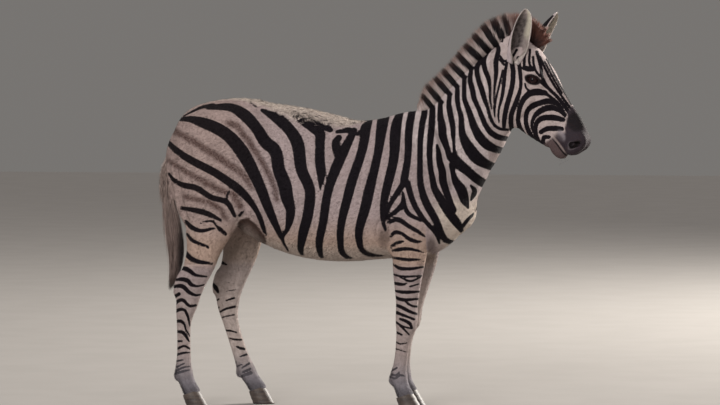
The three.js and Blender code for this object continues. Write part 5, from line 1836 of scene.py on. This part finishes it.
def coat_material():
    shader = Shader("coat_tufts", 0.65, 0.1)
    return shader.finish(striped(shader, 0.25))


COAT_LOOK = coat_material()
for number, name in enumerate(COAT):
    tufts(name, number)

# ---------------------------------------------------------------- mane and tail


def hair_material(name, roughness):
    shader = Shader(name, roughness, 0.3)
    edge = shader.ramp(shader.attribute("mark"), -0.25, 0.3)
    tone = shader.mix(edge, shader.attribute("dark", "Color"), shader.attribute("tone", "Color"))
    streak = shader.ramp(shader.noise(260, (1, 1, 5), detail=2.0), 0.3, 0.75)
    return shader.finish(shader.mix(shader.math("MULTIPLY", streak, 0.16), tone, BLACK))


TAPER = 1 / 0.6
# How long a hair's patch is on its map, below zero where hairs hang down on it.
MAP_LENGTHS = {"mane_hair": 0.44, "tail_hair": -0.25, "whiskers": 0.1}
# The locks between the ears: their root and tip.
FORELOCK_LOCKS = [
    ([93.4, 0, 159.2], [103.0, -1.2, 162.2]),
    ([93.6, 0, 160.4], [102.2, -0.4, 164.6]),
    ([93.0, 0, 161.5], [101.0, 0.6, 167.6]),
]
def long_hair(name, paths, widths, across, facts, roots, look, slot, *replaced):
    """One piece of long hairs, with its facts worked out at every point from a function."""
    points, triangles, step = hairs(paths, widths, across, 0.5)
    shares = ring_shares(paths.shape[1])
    places = patches(roots, shares, MAP_LENGTHS[name])
    made = triangle_mesh(name, points, triangles, facts(points, np.tile(shares, len(paths)), step), places)
    made.data.materials.append(look)
    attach(made, "root")
    if replaced:
        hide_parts(*replaced)


def tapering(widths, rings):
    return widths[:, None] * (1 - 0.75 * np.linspace(0, 1, rings) ** TAPER)


def per_hair(middle, spread, points, step):
    """A random number for each hair, repeated for all its points."""
    return np.repeat(RNG.normal(middle, spread, len(points) // step), step)


def mane_facts(points, shares, step):
    """Bands of the neck carried on up the mane, with brown tips, and a red-brown forelock."""
    mark = edge_distance(MANE_MARKS, side_view(flank_of(points)), 4.0) - 0.2
    strength = per_hair(1, 0.18, points, step)[:, None]
    forelock = smooth(83.5, 90, points[:, 0] + 0.15 * (points[:, 2] - 160))
    tips = smooth(0.62, 0.95, shares + per_hair(0, 0.08, points, step))
    last = [(FORELOCK, forelock), (BLACK, 0.85 * forelock * smooth(0.75, 0.25, shares))]
    tone = painted(np.tile(MANE_PALE, (len(points), 1)), [(TIP_PALE, 0.9 * tips)] + last)
    dark = painted(np.tile(BLACK, (len(points), 1)), [(TIP_DARK, 0.85 * tips)] + last)
    return {"mark": mark + per_hair(0, 0.22, points, step), "tone": tone * strength, "dark": dark * strength}


def mane():
    """Upright bristles along the crest, and the locks of the forelock."""
    rows = refine(MANE, MANE_STEPS)
    run = np.append(0, np.cumsum(np.hypot(*np.diff((rows[:, :2] + rows[:, 2:]) / 2, axis=0).T)))
    s = RNG.random(MANE_HAIRS)
    row = np.stack([np.interp(s * run[-1], run, rows[:, k]) for k in range(4)], 1)
    side = RNG.uniform(-1, 1, MANE_HAIRS)
    ends = between(s, 0.0, 0.05, 0.95, 1.0)
    root = np.stack([row[:, 0], side * (0.7 + 1.5 * ends), row[:, 1] - 1.0 - 0.5 * side**2], 1)
    tip = np.stack([row[:, 2], side * (0.35 + 0.95 * ends), row[:, 3]], 1)
    tip = tip + (tip - root) * RNG.uniform(-0.16, 0.045, MANE_HAIRS)[:, None]
    lean = RNG.normal(0, 0.5, (MANE_HAIRS, 3)) * [1, 0.5, 0.6]
    shares = np.linspace(0, 1, MANE_RINGS)[None, :, None]
    bow = np.array([-0.7, 0, 0.35]) * RNG.normal(0.6, 0.4, (MANE_HAIRS, 1))
    paths = root[:, None] + (tip - root)[:, None] * shares
    paths = paths + lean[:, None] * shares**2 + bow[:, None] * np.sin(math.pi * shares) * 0.8
    spike = np.concatenate([lock(start, end, [1.3, 1.1, 0.9]) for start, end in FORELOCK_LOCKS])
    paths = np.concatenate([paths, spike])
    s = np.append(s, RNG.uniform(0.95, 1.0, len(spike)))
    side = np.append(side, RNG.uniform(-1, 1, len(spike)))
    widths = tapering(RNG.uniform(0.16, 0.34, len(paths)), MANE_RINGS)
    across = unit(np.stack([0.8 + 0 * s, RNG.normal(0, 0.5, len(paths)), 0.5 + 0 * s], 1))
    roots = np.stack([0.01 + 0.98 * s, 0.02 + 0.5 * (side > 0)], 1)
    long_hair("mane_hair", paths, widths, across, mane_facts, roots, MANE_LOOK, "mane_hair", "mane")


def lock(start, end, spread):
    """A lock of hair that gathers to a point."""
    start = np.array(start) + RNG.normal(0, 1, (LOCK_HAIRS, 3)) * spread
    end = np.array(end) + RNG.normal(0, 0.35, (LOCK_HAIRS, 3))
    shares = np.linspace(0, 1, MANE_RINGS)[None, :, None]
    bow = np.array([0.1, 0, -0.6]) * RNG.uniform(0.2, 1.4, (LOCK_HAIRS, 1))
    return start[:, None] + (end - start)[:, None] * shares + bow[:, None] * np.sin(math.pi * shares)


def tail_facts(points, shares, step):
    """Grey hair with small dark patches, paler by the dock, with near black painted shade in front, dark
    towards the end.
    """
    strength = per_hair(1, 0.16, points, step)[:, None]
    high = smooth(84, 96, points[:, 2])
    # The tail's front, where it hangs against the thigh, gets painted shade below the dock.
    front = smooth(-65.0, -62.0, points[:, 0] + 0.04 * (70 - points[:, 2]))
    tone = painted(
        np.tile(TAIL_GREY, (len(points), 1)),
        [(FRINGE, high), (TAIL_FRONT_SHADE, (1 - high) * front), (TAIL_DARK, 0.8 * smooth(60, 52, points[:, 2]))],
    )
    mark = 1.2 * ripple(points, 3.4, 21) + 0.9 + 0.1 * (1 - high) + per_hair(0, 0.5, points, step)
    return {"mark": mark, "tone": tone * strength, "dark": np.tile(TAIL_DARK, (len(points), 1)) * strength}


def tail():
    """The tail's long hair, from the dock down to its tip."""
    line = refine([[x, 0, z, deep, wide] for x, z, deep, wide in TAIL], TAIL_STEPS)
    depth = np.append(0, np.cumsum(np.linalg.norm(np.diff(line[:, :3], axis=0), axis=1)))
    start = RNG.random(TAIL_HAIRS) ** 1.25 * depth[-1] * 0.62
    length = RNG.uniform(0.55, 1.0, TAIL_HAIRS) * np.where(start < 14, 13, 34)
    end = np.minimum(start + length, depth[-1] * RNG.uniform(0.94, 1.0, TAIL_HAIRS))
    angle = RNG.uniform(0, 2 * math.pi, TAIL_HAIRS)
    radius = np.sqrt(RNG.uniform(0.2, 1, TAIL_HAIRS))
    shares = np.linspace(0, 1, TAIL_RINGS)
    paths = np.zeros((TAIL_HAIRS, TAIL_RINGS, 3))
    for i, share in enumerate(shares):
        at = start + (end - start) * share
        row = np.stack([np.interp(at, depth, line[:, k]) for k in range(5)], 1)
        out = radius * (0.55 + 0.45 * min(share * 3, 1))
        paths[:, i] = row[:, :3]
        paths[:, i, 0] += np.cos(angle) * row[:, 3] * out
        paths[:, i, 1] += np.sin(angle) * row[:, 4] * out
    high = (start < 16)[:, None] * shares**1.2
    paths[:, :, 0] -= high * RNG.uniform(0.4, 2.4, TAIL_HAIRS)[:, None]
    paths += np.cumsum(RNG.normal(0, 0.12, paths.shape), axis=1)
    paths[:, :, 2] = np.maximum(paths[:, :, 2], line[-1, 2] - 0.6)
    widths = tapering(RNG.uniform(0.14, 0.28, TAIL_HAIRS), TAIL_RINGS)
    across = unit(np.stack([np.cos(angle + 1.57), np.sin(angle + 1.57), 0 * angle], 1))
    roots = np.stack([0.01 + 0.97 * angle / (2 * math.pi), 0.98 - 0.96 * start / depth[-1]], 1)
    long_hair("tail_hair", paths, widths, across, tail_facts, roots, TAIL_LOOK, "tail_hair", "tail_switch")


def whisker_facts(points, shares, step):
    dark = np.tile(BLACK, (len(points), 1))
    return {"mark": np.full(len(points), -1.0), "tone": dark, "dark": dark}


def whiskers():
    """Lashes on the upper lids, and a few long hairs on chin and lips."""
    paths = []
    for side in (-1, 1):
        for t in np.linspace(-1, 1, LASHES):
            above = [2.3 * t, side * (1.75 - 0.5 * t * t), 1.0 - 0.9 * t * t - 0.5 * t]
            root = EYE * [1, side, 1] + np.array(above)
            out = np.array([0.35 * t, side * 0.9, 0.15])
            paths.append([root, root + 0.5 * out + [0, 0, -0.1], root + out + [0, 0, 0.05]])
        for _ in range(CHIN_HAIRS):
            root = np.array([RNG.uniform(44, 53), side * RNG.uniform(1.5, 3.8), RNG.uniform(-12.8, -10)])
            out = np.array([0.3, side * 0.35, -0.85]) * RNG.uniform(0.5, 1.1)
            paths.append([root, root + 0.5 * out, root + out + RNG.normal(0, 0.2, 3)])
    paths = from_head(np.array(paths))
    count = len(paths)
    widths = tapering(np.full(count, 0.05), 3)
    across = unit(RNG.normal(size=(count, 3)))
    roots = np.stack([np.linspace(0.02, 0.98, count), np.full(count, 0.5)], 1)
    long_hair("whiskers", paths, widths, across, whisker_facts, roots, MANE_LOOK, "mane_hair")


MANE_PALE = colour(204, 188, 184)
TIP_PALE = colour(122, 86, 72)
TIP_DARK = colour(76, 48, 42)
FORELOCK = colour(110, 70, 60)
TAIL_GREY = colour(134, 116, 110)
TAIL_DARK = colour(74, 60, 58)
TAIL_FRONT_SHADE = colour(24, 18, 20)
FRINGE = colour(158, 140, 133)
MANE_LOOK = hair_material("mane_bristles", 0.55)
TAIL_LOOK = hair_material("tail_strands", 0.5)
mane()
tail()
whiskers()

# ---------------------------------------------------------------- eyes


# The pupil's half length and half height, as shares of the eye's radius.
PUPIL = (0.42, 0.25)


def eye_material():
    """A dark brown iris round a wide pupil, under a wet surface."""
    shader = Shader("wet_eye", 0.2, 0.15)
    streaks = shader.ramp(shader.noise(700, (1, 1, 3)), 0.3, 0.7)
    iris = shader.mix(streaks, colour(24, 14, 15), colour(40, 24, 24))
    tone = shader.mix(shader.ramp(shader.attribute("mark"), -0.1, 0.1), colour(6, 5, 8), iris)
    tone = shader.mix(shader.ramp(shader.attribute("shadow"), 0.0, 0.25), tone, colour(20, 14, 13))
    return shader.finish(tone)


def eye(side, name):
    """A ball whose cornea bulges outwards a little."""
    bm = bmesh.new()
    bmesh.ops.create_uvsphere(bm, u_segments=64, v_segments=40, radius=1)
    sphere = np.array([v.co[:] for v in bm.verts])
    faces = [[v.index for v in f.verts] for f in bm.faces]
    bm.free()
    out = sphere[:, 1] * side
    local = sphere * EYE_RADIUS * (1 + 0.07 * smooth(0.75, 1.0, out))[:, None]
    made = mesh_object(name + "_ball", from_head(EYE * [1, side, 1] + local), faces)
    pupil = oval(sphere[:, [0, 2]], (0, 0), PUPIL) - 1 + 2 * (out < 0)
    white = np.hypot(sphere[:, 0], sphere[:, 2]) - 0.9 + (out < 0)
    keep_facts(made.data, {"mark": pupil * 0.4, "shadow": white})
    made.data.shade_smooth()
    made.data.materials.append(EYE_LOOK)
    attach(made, "root")
    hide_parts(name)


EYE_LOOK = eye_material()
eye(-1, "eye_right")
eye(1, "eye_left")

# ---------------------------------------------------------------- hooves

# How far a hoof leans back for each centimetre up, its reach behind as a share of that in front, how far
# ahead of the leg's end its sole stands, and its half length and half width at the top. SOLES has those two
# at the ground.
HOOF = {"lean": 0.46, "heel": 0.86, "ahead": 2.4, "top": (4.3, 3.95)}
SOLES = {"fore": (5.4, 4.4), "hind": (5.2, 4.0)}


def hoof_material():
    """Dull grey horn with rings of growth and a paler grain."""
    shader = Shader("hoof_horn", 0.55, 0.35)
    rings = shader.noise(60, (6, 6, 0.8), detail=3.0)
    grain = shader.noise(300, (1, 1, 6), detail=2.0)
    tone = shader.mix(shader.ramp(rings, 0.3, 0.7), colour(48, 42, 42), colour(78, 68, 62))
    tone = shader.mix(shader.math("MULTIPLY", shader.ramp(grain, 0.45, 0.8), 0.4), tone, colour(104, 92, 82))
    normal = shader.bump(rings, 0.6, 0.003, shader.bump(grain, 0.3, 0.0012))
    return shader.finish(tone, normal)


def hoof(name, sides=48, steps=14):
    """Rings from the sole up to the coronet, which falls towards the heel."""
    long_sole, wide_sole = SOLES[name.split("_")[0]]
    long_top, wide_top = HOOF["top"]
    foot = LIMBS[name][-1]
    rings = []
    angle = np.arange(sides) / sides * 2 * math.pi
    for i in range(steps + 1):
        t = i / steps
        top = HOOF_TOP + HOOF_FALL * np.cos(angle) * long_top * 0.9
        level = t * top
        part = level / (HOOF_TOP + 3)
        length = long_sole + (long_top - long_sole) * part
        width = wide_sole + (wide_top - wide_sole) * part
        swell = 1 + 0.012 * math.sin(t * 19) - 0.03 * (t > 0.96) - 0.03 * (t < 0.03)
        reach = np.cos(angle) * length * np.where(np.cos(angle) < 0, HOOF["heel"], 1) * swell
        x = foot[0] + HOOF["ahead"] - HOOF["lean"] * level + reach
        rings.append(np.stack([x, foot[1] + np.sin(angle) * width * swell, level], 1))
    vertices = np.vstack(rings + [[rings[0].mean(0)], [rings[-1].mean(0)]])
    faces = tube_faces(steps, sides)
    last = steps * sides
    for i in range(sides):
        j = (i + 1) % sides
        faces.append([len(vertices) - 2, j, i])
        faces.append([len(vertices) - 1, last + i, last + j])
    made = mesh_object(name + "_horn", vertices, faces)
    made.data.shade_smooth()
    made.data.materials.append(HOOF_LOOK)
    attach(made, "root")
    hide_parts(name.replace("_", "_hoof_"))


HOOF_LOOK = hoof_material()
for name in LIMBS:
    hoof(name)

# ---------------------------------------------------------------- room, light and camera


FLOOR_REACH = 30
FLOOR_TONES = ((0.30, 0.287, 0.274), (0.312, 0.298, 0.285))
ROOM_LOW = (0.185, 0.176, 0.167, 1)
ROOM_HIGH = (0.62, 0.59, 0.57, 1)
LIT_PLACE = (0, 0, 0.95)
# Each lamp's place, width across, watts and colour.
LAMPS = {
    "key": ((-2.0, -10.0, 3.9), 5.0, 810, (1, 0.97, 0.94)),
    "rim": ((8.0, 8.6, 4.6), 1.8, 3600, (1, 0.95, 0.88)),
    "fill": ((-1.0, 0.0, 5.5), 3.0, 30, (1, 0.96, 0.9)),
}


def plain_floor():
    shader = Shader("plain_floor", 1.0, 0.0)
    look = shader.finish(shader.mix(shader.ramp(shader.noise(3), 0.3, 0.7), *FLOOR_TONES))
    mesh = bpy.data.meshes.new("floor")
    corners = [(x * FLOOR_REACH, y * FLOOR_REACH, 0) for x, y in ((-1, -1), (1, -1), (1, 1), (-1, 1))]
    mesh.from_pydata(corners, [], [(0, 1, 2, 3)])
    mesh.materials.append(look)
    floor = bpy.data.objects.new("floor", mesh)
    bpy.context.scene.collection.objects.link(floor)


def soft_light(name, place, size, power, tint):
    data = bpy.data.lights.new(name, "AREA")
    data.shape = "DISK"
    data.size = size
    data.energy = power
    data.color = tint
    lamp = bpy.data.objects.new(name, data)
    lamp.location = place
    lamp.rotation_euler = (Vector(LIT_PLACE) - Vector(place)).to_track_quat("-Z", "Y").to_euler()
    bpy.context.scene.collection.objects.link(lamp)


def surroundings():
    """A room that is darker near the floor, and the lamps."""
    world = bpy.data.worlds.new("room")
    world.use_nodes = True
    tree = world.node_tree
    split = tree.nodes.new("ShaderNodeSeparateXYZ")
    tree.links.new(tree.nodes.new("ShaderNodeTexCoord").outputs["Generated"], split.inputs[0])
    rise = tree.nodes.new("ShaderNodeMapRange")
    rise.inputs["From Min"].default_value = 0.05
    rise.inputs["From Max"].default_value = 0.5
    tree.links.new(split.outputs["Z"], rise.inputs["Value"])
    both = tree.nodes.new("ShaderNodeMix")
    both.data_type = "RGBA"
    for socket, tone in zip(colour_sockets(both.inputs), (ROOM_LOW, ROOM_HIGH)):
        socket.default_value = tone
    tree.links.new(rise.outputs["Result"], both.inputs["Factor"])
    tree.links.new(colour_sockets(both.outputs)[0], tree.nodes["Background"].inputs["Color"])
    bpy.context.scene.world = world
    bpy.context.scene.view_settings.view_transform = "Standard"
    for name, lamp in LAMPS.items():
        soft_light(name, *lamp)


def camera():
    data = bpy.data.cameras.new("view")
    data.sensor_width = 36
    data.lens = data.sensor_width * VIEW_DISTANCE / VIEW_WIDTH
    data.clip_end = 100
    made = bpy.data.objects.new("view", data)
    ahead = Vector(VIEW_AHEAD.tolist())
    made.location = Vector(to_frame(VIEW_TARGET).tolist()) - ahead * VIEW_DISTANCE / 100
    made.rotation_euler = ahead.to_track_quat("-Z", "Y").to_euler()
    bpy.context.scene.collection.objects.link(made)
    bpy.context.scene.camera = made


plain_floor()
surroundings()
camera()
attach(skin, "root")
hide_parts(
    "trunk", "neck", "head", "tail_dock", "ear_right", "ear_left",
    *[
        part + side
        for part in ("forearm_", "fore_cannon_", "fore_pastern_", "thigh_", "hind_cannon_", "hind_pastern_")
        for side in ("right", "left")
    ],
)
